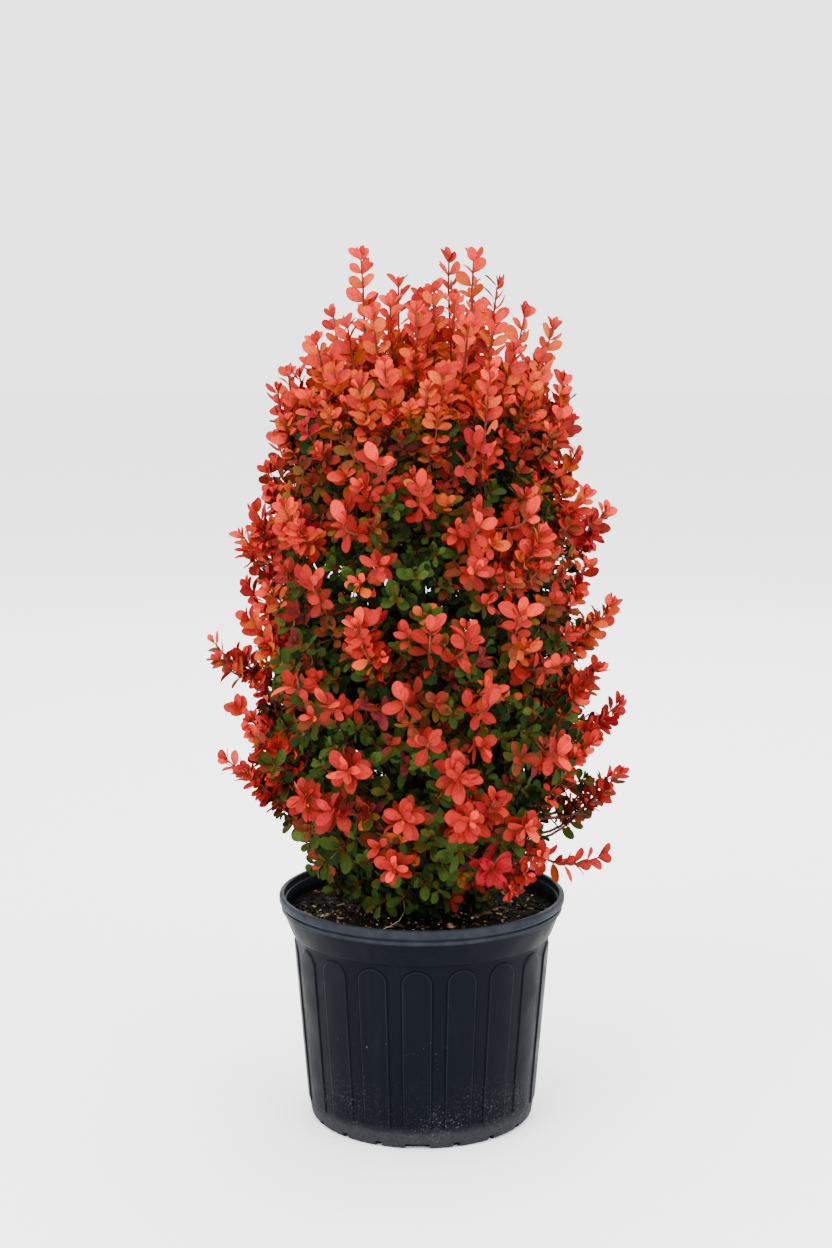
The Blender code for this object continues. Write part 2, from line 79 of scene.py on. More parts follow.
# Pot, as in its solid
POT_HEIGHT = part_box("pot")[1].z
RIM_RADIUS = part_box("pot")[1].x
LIP_HEIGHT = 0.0085
LIP_WIDTH = 0.0052
LIP_CORNER = 0.0026
LIP_BEVEL = 0.0012
UNDERSIDE_RADIUS = 0.1050
FOOT_RADIUS = 0.1118
FOOT_HEIGHT = 0.0165
FOOT_CORNER = 0.0048
BODY_BASE_RADIUS = 0.1115
BODY_TOP_RADIUS = 0.1250
BODY_TOP = 0.1835
COLLAR_BASE_RADIUS = 0.1280
COLLAR_TOP_RADIUS = 0.1365
COLLAR_BASE = 0.1870
COLLAR_TOP = 0.2087
WALL = 0.0022
FLOOR = 0.0040
FLUTES = 18
FLUTE_BASE = 0.0186
FLUTE_TOP = 0.1800
FLUTE_SHARE = 0.66
FRONT_FLUTE_BEARING = math.radians(-92.3)
DRAIN_HEIGHT = 0.0055
DRAIN_INNER_RADIUS = 0.1010
DRAIN_OUTER_RADIUS = 0.1160
DRAIN_WIDTH = 0.0064
WIDE_DRAIN_WIDTH = 0.0240
WIDE_DRAIN_EVERY = 6

# Pot details that its solid leaves out
ARCH_HEIGHT = 0.0135
FLUTE_EDGE = 0.0012
FLUTE_COLUMN_DEGREES = (0, 1.6, 3.1, 4.4, 5.3, 5.9, 6.25, 6.5, 6.75, 7.1, 7.7, 8.7)
ARCH_ROW_STEP = 0.0008
BODY_ROW_STEP = 0.0240
FOOT_ROW_STEP = 0.0004
ROWS_UNDER = 0.0010
ROWS_OVER_FOOT = 0.0022
ROWS_OVER_TOP = 0.0014
PANEL_MARGINS = (0.0012, 0.0015)
BAND_RADIUS = 0.1379
BAND_TOP = 0.2129
RECESS_RADIUS = 0.0860
RECESS_DEPTH = 0.0015
INNER_LEDGE = 0.2154
DRAIN_BEVEL = 0.0009
POT_SHARP_DEGREES = 38
ON_AXIS = 1e-6
POLE_MERGE = 1e-5
LIP_BASE = POT_HEIGHT - LIP_HEIGHT
INNER_EDGE = RIM_RADIUS - LIP_WIDTH

# Corners of the pot's profile as (radius, height), with the small steps that ease them: up the outside from
# the body to the lip, and down the inside from the lip to the floor
SHOULDER = (
    (BODY_TOP_RADIUS, BODY_TOP),
    (BODY_TOP_RADIUS + 0.0006, BODY_TOP + 0.0016),
    (COLLAR_BASE_RADIUS - 0.0008, COLLAR_BASE - 0.0010),
    (COLLAR_BASE_RADIUS, COLLAR_BASE),
    (COLLAR_BASE_RADIUS + 0.0006, COLLAR_BASE + 0.0014),
    (COLLAR_TOP_RADIUS - 0.0008, COLLAR_TOP - 0.0020),
    (COLLAR_TOP_RADIUS - 0.0004, COLLAR_TOP - 0.0009),
    (BAND_RADIUS - 0.0006, COLLAR_TOP - 0.0004),
    (BAND_RADIUS, COLLAR_TOP + 0.0002),
    (BAND_RADIUS, BAND_TOP - 0.0004),
    (BAND_RADIUS - 0.0005, BAND_TOP),
    (COLLAR_TOP_RADIUS - 0.0003, BAND_TOP + 0.0005),
    (COLLAR_TOP_RADIUS - 0.0003, LIP_BASE - 0.0003),
    (COLLAR_TOP_RADIUS, LIP_BASE),
)
INSIDE = (
    (INNER_EDGE, INNER_LEDGE + 0.0022),
    (INNER_EDGE - 0.0003, INNER_LEDGE + 0.0014),
    (INNER_EDGE - 0.0016, INNER_LEDGE + 0.0008),
    (INNER_EDGE - 0.0019, INNER_LEDGE),
    (COLLAR_TOP_RADIUS - WALL - LIP_BEVEL, COLLAR_TOP),
    (BODY_TOP_RADIUS - WALL, BODY_TOP + WALL),
    (BODY_BASE_RADIUS - WALL, FOOT_HEIGHT),
    (UNDERSIDE_RADIUS, FLOOR),
    (0.0, FLOOR),
)

# Heights on the pot between which a tint, the dust or the panels' painted lines of shade and highlight come
# and go
LIP_TINT = (0.2080, 0.2105)
FOOT_DUST = (0.0120, 0.0240)
DUST_TOP = 0.0850
PAINTED_LINES_BEGIN = (0.0190, 0.0230)
PAINTED_LINES_END = (0.1815, 0.1835)

# Growing mix
MIX_EDGE_LEVEL = 0.2050
MIX_LEVEL = 0.2080
MIX_SHOULDER_RADIUS = 0.086
MIX_SHOULDER_LEVEL = 0.2070
MIX_RADIUS = 0.1309
MIX_ROWS = 58
MIX_COLUMNS = 190
MIX_ROW_CROWDING = 1.15
MIX_LUMP = 0.0028
MIX_SHARP_DEGREES = 70
COARSE_LUMPS = 60
FINE_LUMPS = 340
COARSE_SHARE = 0.55
FINE_SHARE = 0.30
LUMP_NOISE = (0.9, 2.0, 4)
MIX_SETTLED = 0.0008
MIX_CALM_EDGE = 0.0040
CLEARANCE = 0.0003
MIX_SIDE = ((0.1040, FLOOR + CLEARANCE), (0.1082, FOOT_HEIGHT), (0.1215, BODY_TOP + WALL))

# Bits that lie on the mix, with their sizes as radii or half lengths
BITS_FROM_EDGE = 0.006
CRUMBS_FROM_EDGE = 0.004
CHIP_KINDS = 5
FINE_CHIPS = (0.0006, 0.0024)
COARSE_CHIPS = (0.0024, 0.0056)
FINE_CHIP_CHANCE = 0.85
CHIP_WIDTH = (0.22, 0.55)
CHIP_THICKNESS = (0.14, 0.30)
CHIP_LEAN = 22
CHIP_BEVEL = 0.35
CHIP_UNEVENNESS = (0.7, 1.2)
CHIP_TONE = -0.95
LUMP_LEAN = 90
LUMP_UNEVENNESS = (0.75, 1.15)
BIT_ROLL = 30
PERLITE_KINDS = 3
PERLITE_STRETCH = (1.0, 0.85, 0.75)
PERLITE_SIZES = (0.0005, 0.0017)
CRUMB_KINDS = 4
CRUMB_STRETCH = (1.0, 0.80, 0.70)
CRUMB_SIZES = (0.0009, 0.0026)

# The dry stalk, from the lowest leaves down to the mix, and the knot where it bends
STALK_POINTS = (
    (-0.0150, -0.0460, 0.2700),
    (-0.0190, -0.0540, 0.2424),
    (-0.0178, -0.0580, 0.2290),
    (-0.0160, -0.0605, 0.2205),
    (-0.0215, -0.0680, 0.2130),
    (-0.0300, -0.0760, 0.2098),
    (-0.0370, -0.0835, 0.2090),
    (-0.0420, -0.0900, 0.2086),
)
STALK_RADII = (0.00042, 0.00026)
STALK_SIDES = 8
STALK_KNOT = 3
STALK_KNOT_SIZE = (0.0011, 0.0009, 0.0012)

# Crown: (height, radius) of its outline from the foot to the dome
CROWN_STATIONS = (
    (0.222, 0.088), (0.250, 0.116), (0.300, 0.148), (0.370, 0.168), (0.450, 0.170),
    (0.550, 0.160), (0.650, 0.146), (0.720, 0.128), (0.775, 0.100), (0.812, 0.062),
    (0.832, 0.010),
)
CROWN_FOOT = CROWN_STATIONS[0][0]
CROWN_TOP = CROWN_STATIONS[-1][0]
CROWN_SAMPLES = 400
SPRAY_STAND = 1.04
OUTER_LEAF = (0.72, 1.06)
OUTER_LEAF_AT_FOOT = 1.16
OUTER_LEAF_AT_TOP = 0.92
HOLLOW_LEAF = 0.85
GOLDEN_ANGLE = math.pi * (3 - math.sqrt(5))
SHOOT_TILTS = (18, 56, 12)
TIP_INSET = 0.009
LONG_TIP_INSET = 0.010
TIP_REACH = (0.88, 0.98, 1.06)
FOOT_TUCK = 0.20
FOOT_SHARE = 0.20
CREST_DROP = 0.072
CREST_DROP_FROM = 0.72
STAGGER = 0.020
GATE_GAP = 0.0035
REACH_ROOM = 0.0060
LEAF_GAP = 0.0015

# Shoots that stand out of the crown: bearing in degrees, height and reach of the furthest leaf
LONG_SHOOTS = (
    (171, 0.472, 0.2110), (184, 0.364, 0.1960), (178, 0.412, 0.1850), (176, 0.580, 0.1760),
    (170, 0.530, 0.1760), (182, 0.645, 0.1500), (186, 0.722, 0.1380), (172, 0.738, 0.1300),
    (-4, 0.350, 0.1990), (6, 0.412, 0.1990), (2, 0.452, 0.1760), (-9, 0.520, 0.1860),
    (4, 0.605, 0.1790), (-6, 0.718, 0.1360), (6, 0.660, 0.1500), (-14, 0.272, 0.1850),
    (62, 0.480, 0.1820), (98, 0.640, 0.1640), (130, 0.380, 0.1850), (150, 0.560, 0.1800),
    (84, 0.360, 0.1740), (36, 0.600, 0.1750), (250, 0.520, 0.1780), (292, 0.360, 0.1820),
    (222, 0.620, 0.1700), (310, 0.600, 0.1700), (42, 0.690, 0.1420), (112, 0.720, 0.1450),
    (160, 0.430, 0.1820), (198, 0.510, 0.1760), (194, 0.610, 0.1640), (164, 0.672, 0.1480),
    (204, 0.400, 0.1800), (156, 0.345, 0.1740), (-20, 0.462, 0.1800), (14, 0.548, 0.1700),
    (-14, 0.625, 0.1600), (22, 0.366, 0.1780), (-24, 0.392, 0.1800), (-20, 0.700, 0.1380),
)
LONG_LIFT = math.radians(13)
LONG_LEAF = 0.98
LONE_LEAF = 1.12

# Places where the crown's outline draws in: bearing in degrees, height and depth
NOTCHES = (
    (0, 0.658, 0.020), (0, 0.556, 0.026), (0, 0.457, 0.016), (0, 0.288, 0.028),
    (180, 0.645, 0.014), (180, 0.578, 0.020), (180, 0.418, 0.022), (180, 0.318, 0.018),
    (90, 0.560, 0.018), (90, 0.400, 0.018), (135, 0.480, 0.018), (45, 0.620, 0.018),
)
NOTCH_HEIGHT = 0.030
NOTCH_TURN = math.radians(42)
NOTCH_FULLNESS = 1.4

# Upright shoots that stand out of the dome: how far right and back of the middle, and how high they reach
CREST_SPIKES = (
    (-0.058, -0.020, 0.846), (-0.023, 0.034, 0.820), (0.011, -0.046, 0.815), (0.026, 0.018, 0.844),
    (0.049, -0.014, 0.845), (0.073, 0.032, 0.819), (0.097, -0.028, 0.792), (0.126, 0.012, 0.780),
    (-0.086, 0.026, 0.791), (-0.100, -0.030, 0.768), (-0.006, -0.078, 0.796), (0.043, -0.074, 0.786),
    (-0.045, -0.070, 0.790), (0.084, -0.078, 0.760), (-0.084, -0.084, 0.752), (-0.052, 0.070, 0.800),
    (0.000, 0.088, 0.806), (0.052, 0.078, 0.796), (-0.118, 0.004, 0.734), (0.112, 0.066, 0.744),
    (-0.104, 0.072, 0.746), (0.016, 0.122, 0.752), (0.020, -0.118, 0.742), (-0.034, -0.116, 0.748),
    (-0.070, -0.054, 0.784), (-0.030, -0.056, 0.802), (0.030, -0.052, 0.804), (0.068, -0.052, 0.786),
    (0.006, 0.012, 0.806), (-0.106, 0.020, 0.758), (0.110, -0.056, 0.752), (0.134, -0.020, 0.730),
    (-0.058, -0.106, 0.730), (0.062, -0.108, 0.736),
)
SPIKE_LEAN = 1.8
SPIKE_LEAF = 1.02
CREST_SHOOTS = 46
CREST_RADIUS = 0.124
CREST_RISE = (-0.004, 0.026)
CREST_TURN = 0.6
CREST_LEAN = 2.88
CREST_WAVER = 0.1
CREST_LEAF = (0.72, 0.95)

# Shoots beside each long one: how many, how far aside, how far back and how much they part from it
COMPANIONS = 4
LONE_BELOW = 0.30
COMPANION_ASIDE = 0.017
COMPANION_BACK = (0.012, 0.040)
COMPANION_UP = (-0.3, 1.0)
COMPANION_PARTING = 12.0
COMPANION_LEAF = (0.75, 1.0)

# Upright hollows between the coral shoots, where the crown's surface lies deeper and greener
HOLLOW_SCALE = (30.0, 11.0)
HOLLOW_LEVELS = (0.06, 0.06, 0.00, -0.16, -0.20)
HOLLOW_TOP = 0.83
HOLLOW_REACH = 0.85

# Large coral shoots on the front: distance right of the middle, height, leaf length and tilt in degrees. Low
# ones open like flowers, and those further up stand upright.
FRONT_SPRAYS = {
    "open": (
        (-0.0175, 0.336, 0.0225, 14), (0.0423, 0.333, 0.0240, 16), (-0.0677, 0.380, 0.0215, 30),
        (-0.0809, 0.338, 0.0230, 20), (-0.1070, 0.347, 0.0220, 24), (0.0660, 0.278, 0.0230, 16),
        (0.0330, 0.376, 0.0220, 26), (-0.0260, 0.284, 0.0185, 18), (0.0950, 0.318, 0.0200, 24),
        (0.0980, 0.262, 0.0145, 8), (0.0850, 0.246, 0.0130, 6), (0.1120, 0.280, 0.0150, 14),
    ),
    "upright": (
        (-0.0017, 0.634, 0.0220, 74), (-0.0700, 0.600, 0.0220, 72), (0.0070, 0.508, 0.0220, 72),
        (0.0420, 0.500, 0.0220, 70), (0.0950, 0.606, 0.0225, 70), (0.0880, 0.520, 0.0220, 68),
        (-0.0550, 0.512, 0.0220, 70), (0.1180, 0.470, 0.0225, 60), (-0.0170, 0.446, 0.0235, 66),
        (0.0050, 0.408, 0.0220, 54), (0.1250, 0.386, 0.0240, 48), (-0.1180, 0.452, 0.0220, 62),
        (-0.1000, 0.548, 0.0235, 70), (0.0500, 0.600, 0.0220, 74), (-0.0400, 0.655, 0.0220, 74),
        (0.0480, 0.668, 0.0220, 74), (-0.0850, 0.440, 0.0215, 60), (0.0600, 0.440, 0.0215, 60),
    ),
}

# Stem and boughs
STEM_RINGS = (
    (0.0000, 0.0260), (0.0060, 0.0200), (0.0260, 0.0175), (0.0620, 0.0165), (0.0760, 0.0140),
)
FLARE_LOBES = 5
FLARE_DEPTH = 0.16
STUB_DEPTH = 0.0060
STUB_LENGTH = 0.0140
STUB_SWELL = 1.12
STUB_STEPS = 6
BOUGH_BASE_RADIUS = 0.0044
BOUGH_TIP_RADIUS = 0.0034
BOUGH_STEP = 0.0040
LEAST_BOUGH_STEPS = 8
LIMB_SIDES = 14
STEM_SIDES = 40
STEM_LEVELS = 34
STEM_VOXEL = 0.0013
SMOOTH_FROM = 0.0010
RIDGED_FROM = 0.0008
RIDGE_SCALE = (210, 210, 48)
RIDGE_NOISE = (0.8, 2.1, 4)
BOUGH_RELIEF = 0.6
BARK_SHARP_DEGREES = 60

# Tiers of foliage, from the foot up. Bearings and tilts are in degrees. A stub leaves the stem at
# (radius, height above the mix, tilt), a bough ends at its gate (radius, height, tilt), and the heart
# (radius, height) is the middle of the mass.
TIERS = (
    {"name": "low", "count": 5, "first": 54, "stub": (0.013, 0.024, 30), "gate": (0.044, 0.262, 42),
     "heart": (0.080, 0.302)},
    {"name": "mid", "count": 6, "first": 30, "stub": (0.012, 0.050, 50), "gate": (0.040, 0.420, 50),
     "heart": (0.084, 0.450)},
    {"name": "high", "count": 5, "first": -18, "stub": (0.009, 0.073, 80), "gate": (0.034, 0.572, 60),
     "heart": (0.076, 0.618)},
    {"name": "top", "count": 1, "first": 0, "stub": (0.000, 0.073, 90), "gate": (0.000, 0.684, 90),
     "heart": (0.000, 0.756)},
)

# Layers under the surface: name, depth as a share of the crown's radius, shoots for each outer one and
# leaf length for each full leaf
INNER_LAYERS = (
    ("inner", 0.84, 0.72, 0.82),
    ("deep", 0.66, 0.56, 0.82),
    ("core", 0.42, 0.28, 0.82),
)
SPRAY_ROOM = 0.020
INNER_SINK = 0.12
INNER_TILT_SPREAD = 22
INNER_BEARING_SPREAD = 30
INNER_REACH = (0.90, 1.08)
INNER_LEAF = (0.85, 1.15)

# Twigs
SUPPLE = 0.24
SHOOTS_PER_LIMB = 7
BUNCHING_ROUNDS = 8
LIMB_REACH = 0.52
LIMB_COVER = 0.034
LIMB_RADII = (0.0024, 0.0015)
LIMB_STEPS = 6
FIRST_LIMB_STEP = 2
TWIG_RADII = (0.0013, 0.0006)
STOUT_RADII = (0.0018, 0.0009)
LIMB_TWIG_SIDES = 7
YOUNG_TWIG_SIDES = 5
HIDDEN_TWIG_SIDES = 3
TWIG_STEPS = 8
TWIG_START = (0.25, 1.0)
TWIG_RISE = -0.15
SPIKE_START = (0.0, 0.30)
SPIKE_RISE = -0.75
LONG_RISE = -0.55
TILT_SPREAD = 12
BEARING_SPREAD = 14
NODE_STRETCH = (0.88, 1.14)
NODE_ROOM = 0.010
NODE_SPREAD = 0.03

# Nodes of each kind of shoot from its tip down: distance from the tip and leaf length, both as shares of a
# full leaf, number of leaves and their lean from the shoot in degrees
SHOOT_NODES = {
    "leafy": (
        (0.00, 0.50, 2, 16), (0.10, 0.80, 3, 42), (0.42, 1.00, 3, 58), (0.95, 1.00, 4, 66),
        (1.60, 0.95, 4, 72), (2.30, 0.90, 4, 74), (3.00, 0.85, 4, 76),
    ),
    "long": (
        (0.00, 0.56, 3, 20), (0.12, 0.84, 3, 38), (0.48, 0.94, 3, 44), (0.98, 1.00, 3, 48),
        (1.52, 1.00, 3, 52), (2.10, 0.95, 3, 56), (2.70, 0.90, 4, 60), (3.35, 0.90, 4, 63),
        (4.00, 0.90, 4, 66),
    ),
    "spike": (
        (0.00, 0.66, 2, 16), (0.08, 0.86, 3, 36), (0.52, 0.95, 3, 42), (0.98, 1.00, 3, 46),
        (1.48, 1.00, 3, 50), (2.05, 1.00, 3, 54), (2.65, 0.95, 4, 58), (3.30, 0.90, 4, 62),
        (3.95, 0.90, 4, 66),
    ),
    "open": (
        (0.00, 0.50, 3, 28), (0.05, 0.80, 4, 56), (0.14, 1.00, 5, 74), (0.46, 1.00, 4, 66),
        (0.95, 0.90, 4, 80), (1.50, 0.85, 4, 80), (2.10, 0.80, 4, 80),
    ),
    "upright": (
        (0.00, 0.92, 1, 6), (0.10, 1.00, 2, 52), (0.20, 0.62, 2, 40), (0.70, 0.80, 3, 66),
        (1.30, 0.80, 4, 72), (1.95, 0.80, 4, 74), (2.60, 0.75, 4, 76),
    ),
    "buried": (
        (0.00, 0.75, 2, 28), (0.26, 0.95, 3, 56), (0.85, 1.00, 4, 68), (1.50, 0.95, 4, 74),
        (2.20, 0.90, 4, 76),
    ),
}
SPINE_LENGTH = (0.0045, 0.0080)
SPINE_RADIUS = 0.00032
SPINE_SIDES = 3

# Leaves. The outline is (share of the length, share of the half width) from stalk to tip.
LEAF_OUTLINE = (
    (0.00, 0.05), (0.09, 0.12), (0.23, 0.52), (0.41, 0.87), (0.59, 1.00),
    (0.76, 0.93), (0.90, 0.66), (0.97, 0.36), (1.00, 0.09),
)
SMALL_LEAF_OUTLINE = (
    (0.00, 0.06), (0.25, 0.42), (0.60, 1.00), (0.87, 0.80), (1.00, 0.24),
)
SMALL_TINTS = ("green_deep",)
SMALL_LEAF = 0.0138
LEAF_WIDTHS = (0.86, 1.18)

# Cup, arch and twist of each blade
LEAF_CURLS = ((0.06, 0.10, 0.10), (0.10, 0.18, -0.15), (0.03, -0.06, 0.20), (0.09, 0.12, -0.05))
SMALL_LEAF_CURLS = ((0.08, 0.12, 0.12), (0.10, 0.18, -0.12))
CUP_POWER = 1.4
ARCH_MIDDLE = 0.15
ARCH_LIFT = 0.02

TINTS = (
    "coral", "coral_light", "coral_deep", "red", "orange", "russet", "amber", "olive", "maroon", "green",
    "green_deep",
)

# Softboxes: name, place, width and height, and power as a share of the key's
LIGHT_TARGET = (0.0, 0.0, 0.5)
SOFTBOXES = (
    ("key_softbox", (-1.7, -2.2, 3.0), (2.4, 2.4), 1.0),
    ("fill_softbox", (2.2, -2.4, 1.8), (2.0, 2.4), 0.45),
    ("top_softbox", (0.2, 0.3, 3.6), (2.6, 2.6), 0.6),
    ("back_softbox", (0.5, 2.8, 2.4), (2.4, 2.0), 0.4),
)


def polar(radius, bearing, height):
    return Vector((radius * math.cos(bearing), radius * math.sin(bearing), height))


def tilted(bearing, tilt):
    """A unit vector that points along a bearing and climbs by tilt."""
    return polar(math.cos(tilt), bearing, math.sin(tilt))


def tapered(first, last, steps):
    return [first + (last - first) * i / steps for i in range(steps + 1)]


def smooth_step(value):
    value = min(1.0, max(0.0, value))
    return value * value * (3 - 2 * value)


def bend(start, start_way, end, end_way, steps, stiffness=SUPPLE):
    """(point, direction) along a smooth curve that leaves along start_way and arrives along end_way."""
    reach = (end - start).length * stiffness
    corners = (start, start + start_way * reach, end - end_way * reach, end)
    path = []
    for i in range(steps + 1):
        t = i / steps
        s = 1 - t
        weights = (s**3, 3 * t * s * s, 3 * t * t * s, t**3)
        point = sum((corner * weight for corner, weight in zip(corners, weights)), Vector())
        slopes = (-s * s, s * s - 2 * t * s, 2 * t * s - t * t, t * t)
        way = sum((corner * slope for corner, slope in zip(corners, slopes)), Vector())
        path.append((point, way.normalized()))
    return path


def path_length(path):
    return sum((b[0] - a[0]).length for a, b in zip(path, path[1:]))


# Materials


class Finish:
    """A node material in the making, with its Principled shader ready."""

    def __init__(self, name, roughness, specular):
        self.material = bpy.data.materials.new(name)
        self.material.use_nodes = True
        self.tree = self.material.node_tree
        self.shader = self.tree.nodes["Principled BSDF"]
        self.shader.inputs["Roughness"].default_value = roughness
        self.shader.inputs["Specular IOR Level"].default_value = specular
        self.place = self.add("ShaderNodeTexCoord").outputs["Object"]

    def plug(self, value, socket):
        """Links a socket, or sets a plain value."""
        if isinstance(value, bpy.types.NodeSocket):
            self.tree.links.new(value, socket)
        else:
            socket.default_value = value

    def add(self, kind, inputs=(), **settings):
        node = self.tree.nodes.new(kind)
        for name, value in settings.items():
            setattr(node, name, value)
        for name, value in dict(inputs).items():
            self.plug(value, node.inputs[name])
        return node

    def math(self, operation, first, second=0.0):
        return self.add("ShaderNodeMath", {0: first, 1: second}, operation=operation).outputs[0]

    def times(self, first, second):
        return self.math("MULTIPLY", first, second)

    def plus(self, first, second):
        return self.math("ADD", first, second)

    def minus(self, first, second):
        return self.math("SUBTRACT", first, second)

    def size(self, value):
        return self.math("ABSOLUTE", value)

    def blend(self, factor, first, second):
        """Mixes two colours, each a socket or a plain colour."""
        inputs = {0: factor, 6: solid(first), 7: solid(second)}
        return self.add("ShaderNodeMix", inputs, data_type="RGBA").outputs[2]

    def spread(self, value, low, high, to_low=0.0, to_high=1.0):
        """Maps low..high of a value to to_low..to_high, smoothly and clamped."""
        inputs = {"Value": value, "From Min": low, "From Max": high, "To Min": to_low, "To Max": to_high}
        return self.add("ShaderNodeMapRange", inputs, interpolation_type="SMOOTHSTEP").outputs["Result"]

    def noise(self, scale, detail=2.0, roughness=0.5, place=None):
        inputs = {"Vector": place or self.place, "Scale": scale, "Detail": detail, "Roughness": roughness}
        return self.add("ShaderNodeTexNoise", inputs).outputs["Fac"]

    def stretched(self, scale):
        return self.add("ShaderNodeMapping", {"Vector": self.place, "Scale": scale}).outputs["Vector"]

    def height(self):
        return self.add("ShaderNodeSeparateXYZ", {0: self.place}).outputs["Z"]

    def tone(self):
        """Each bit's lightness, from -1 to 1: its own tone, and on the leaves also painted shade inside the
        crown and painted light near its top.
        """
        return self.add("ShaderNodeAttribute", attribute_name="tone").outputs["Fac"]

    def bump(self, height, distance, strength=1.0):
        inputs = {"Height": height, "Distance": distance, "Strength": strength}
        self.plug(self.add("ShaderNodeBump", inputs).outputs["Normal"], self.shader.inputs["Normal"])

    def colour(self, value):
        self.plug(value, self.shader.inputs["Base Color"])

    def roughness(self, value):
        self.plug(value, self.shader.inputs["Roughness"])


def solid(colour):
    """A plain colour with its full alpha, or a socket as it is."""
    return colour if isinstance(colour, bpy.types.NodeSocket) else (*colour, 1.0)


def scaled(colour, factor, lift=0.0):
    return [min(1.0, channel * factor + lift) for channel in colour]


def panel_edge(finish):
    """How far a point of the pot lies across a panel's arched outline: 1 on the outline, less inside it."""
    pitch = 2 * math.pi / FLUTES
    parts = finish.add("ShaderNodeSeparateXYZ", {0: finish.place})
    bearing = finish.math("ARCTAN2", parts.outputs["Y"], parts.outputs["X"])
    from_gap = finish.minus(bearing, FRONT_FLUTE_BEARING - pitch / 2)
    from_middle = finish.minus(finish.math("FLOORED_MODULO", from_gap, pitch), pitch / 2)
    across = finish.math("DIVIDE", from_middle, pitch * FLUTE_SHARE / 2)
    over = finish.math("MAXIMUM", finish.minus(parts.outputs["Z"], FLUTE_TOP - ARCH_HEIGHT), 0.0)
    upright = finish.math("DIVIDE", over, ARCH_HEIGHT)
    return finish.math("SQRT", finish.plus(finish.times(across, across), finish.times(upright, upright)))


def dust_on_pot(finish, height, patches):
    """Dusty speckles that rise from the foot, and a dusty ring at the foot itself."""
    speckles = finish.spread(finish.noise(520, 4, 0.65), 0.56, 0.68)
    low = finish.spread(height, 0.0, DUST_TOP, 1.0, 0.0)
    dusty = finish.times(speckles, finish.times(low, finish.plus(patches, 0.25)))
    ring = finish.times(finish.spread(height, *FOOT_DUST, 0.55, 0.0), finish.noise(300, 5, 0.7))
    return finish.math("MAXIMUM", dusty, ring)


def pot_finish(settings):
    """Satin blue-black plastic, greyer on the lip and streaked, with painted shade in a line round each panel
    and a painted highlight along its edge, and dust from the foot.
    """
    finish = Finish("pot_plastic", roughness=0.42, specular=0.024)
    height = finish.height()
    patches = finish.spread(finish.noise(16, 3), 0.42, 0.66)
    dust = dust_on_pot(finish, height, patches)
    stray = finish.times(finish.spread(finish.noise(430, 2), 0.71, 0.78), patches)
    scuffed = finish.blend(finish.times(stray, 0.6), settings.plastic, settings.dust)
    # Greyer in patches from the band under the lip upwards
    lip_patches = finish.spread(finish.noise(90, 4), 0.3, 0.7, 0.6, 1.0)
    greyed = finish.blend(finish.times(finish.spread(height, *LIP_TINT), lip_patches), scuffed, settings.lip_and_highlight_colour)
    streaks = finish.noise(70, 3, 0.6, finish.stretched((1.0, 1.0, 0.06)))
    streaked = finish.blend(finish.spread(streaks, 0.50, 0.80, 0.0, 0.12), greyed, settings.lip_and_highlight_colour)

    edge = panel_edge(finish)
    over_foot = finish.spread(height, *PAINTED_LINES_BEGIN)
    painted_lines_band = finish.times(over_foot, finish.spread(height, *PAINTED_LINES_END, 1.0, 0.0))
    # Painted shade in a dark line just outside each panel's arched edge, and a painted highlight in the lip
    # colour just inside it
    painted_groove_shade = finish.spread(finish.size(finish.minus(edge, 1.07)), 0.0, 0.09, 0.85, 0.0)
    crest = finish.spread(finish.size(finish.minus(edge, 0.95)), 0.0, 0.05, 0.34, 0.0)
    with_groove_shade = finish.blend(finish.times(painted_groove_shade, painted_lines_band), streaked, scaled(settings.plastic, 0.25))
    with_edge_highlight = finish.blend(finish.times(crest, painted_lines_band), with_groove_shade, settings.lip_and_highlight_colour)
    finish.colour(finish.blend(finish.times(dust, 0.62), with_edge_highlight, settings.dust))

    uneven = finish.spread(finish.noise(40, 4), 0.3, 0.7, 0.36, 0.50)
    finish.roughness(finish.plus(uneven, finish.times(dust, 0.3)))
    finish.bump(finish.plus(finish.noise(900, 3, 0.6), finish.times(streaks, 0.6)), 0.00012, 0.7)
    return finish.material


def mix_finish(settings):
    """Damp peat and fine bark, almost black."""
    finish = Finish("growing_mix_damp", roughness=0.92, specular=0.03)
    crumbs = finish.noise(420, 6, 0.7)
    patches = finish.noise(55, 4, 0.6)
    share = finish.spread(finish.times(crumbs, patches), 0.18, 0.42)
    finish.colour(finish.blend(share, settings.mix_colour, scaled(settings.mix_colour, 3.4)))
    finish.roughness(finish.spread(patches, 0.3, 0.7, 0.72, 0.98))
    finish.bump(crumbs, 0.0012)
    return finish.material


def chip_finish(settings):
    """Bark chips and fibres, from dark brown to straw by each chip's tone."""
    finish = Finish("bark_chips", roughness=0.85, specular=0.06)
    fibres = finish.noise(500, 4, 0.6, finish.stretched((1.0, 0.35, 1.0)))
    shade = finish.blend(finish.spread(finish.tone(), -1.0, 1.0), settings.chip_dark, settings.chip_light)
    finish.colour(finish.blend(finish.spread(fibres, 0.35, 0.7, 0.0, 0.6), shade, settings.chip_dark))
    finish.bump(fibres, 0.0004, 0.8)
    return finish.material


def perlite_finish(settings):
    """Porous grains, stained here and there."""
    finish = Finish("perlite", roughness=0.9, specular=0.1)
    stain = finish.spread(finish.noise(300, 2), 0.4, 0.65)
    finish.colour(finish.blend(stain, settings.perlite_colour, scaled(settings.perlite_colour, 0.45)))
    finish.bump(finish.noise(1500, 4, 0.6), 0.0004, 0.8)
    return finish.material


def straw_finish(settings):
    """Dry fibres between the colours of light chips and of dull perlite."""
    finish = Finish("dry_stalk", roughness=0.7, specular=0.3)
    fibres = finish.noise(600, 3)
    finish.colour(finish.blend(fibres, settings.chip_light, scaled(settings.perlite_colour, 0.7)))
    finish.bump(fibres, 0.0002, 0.5)
    return finish.material


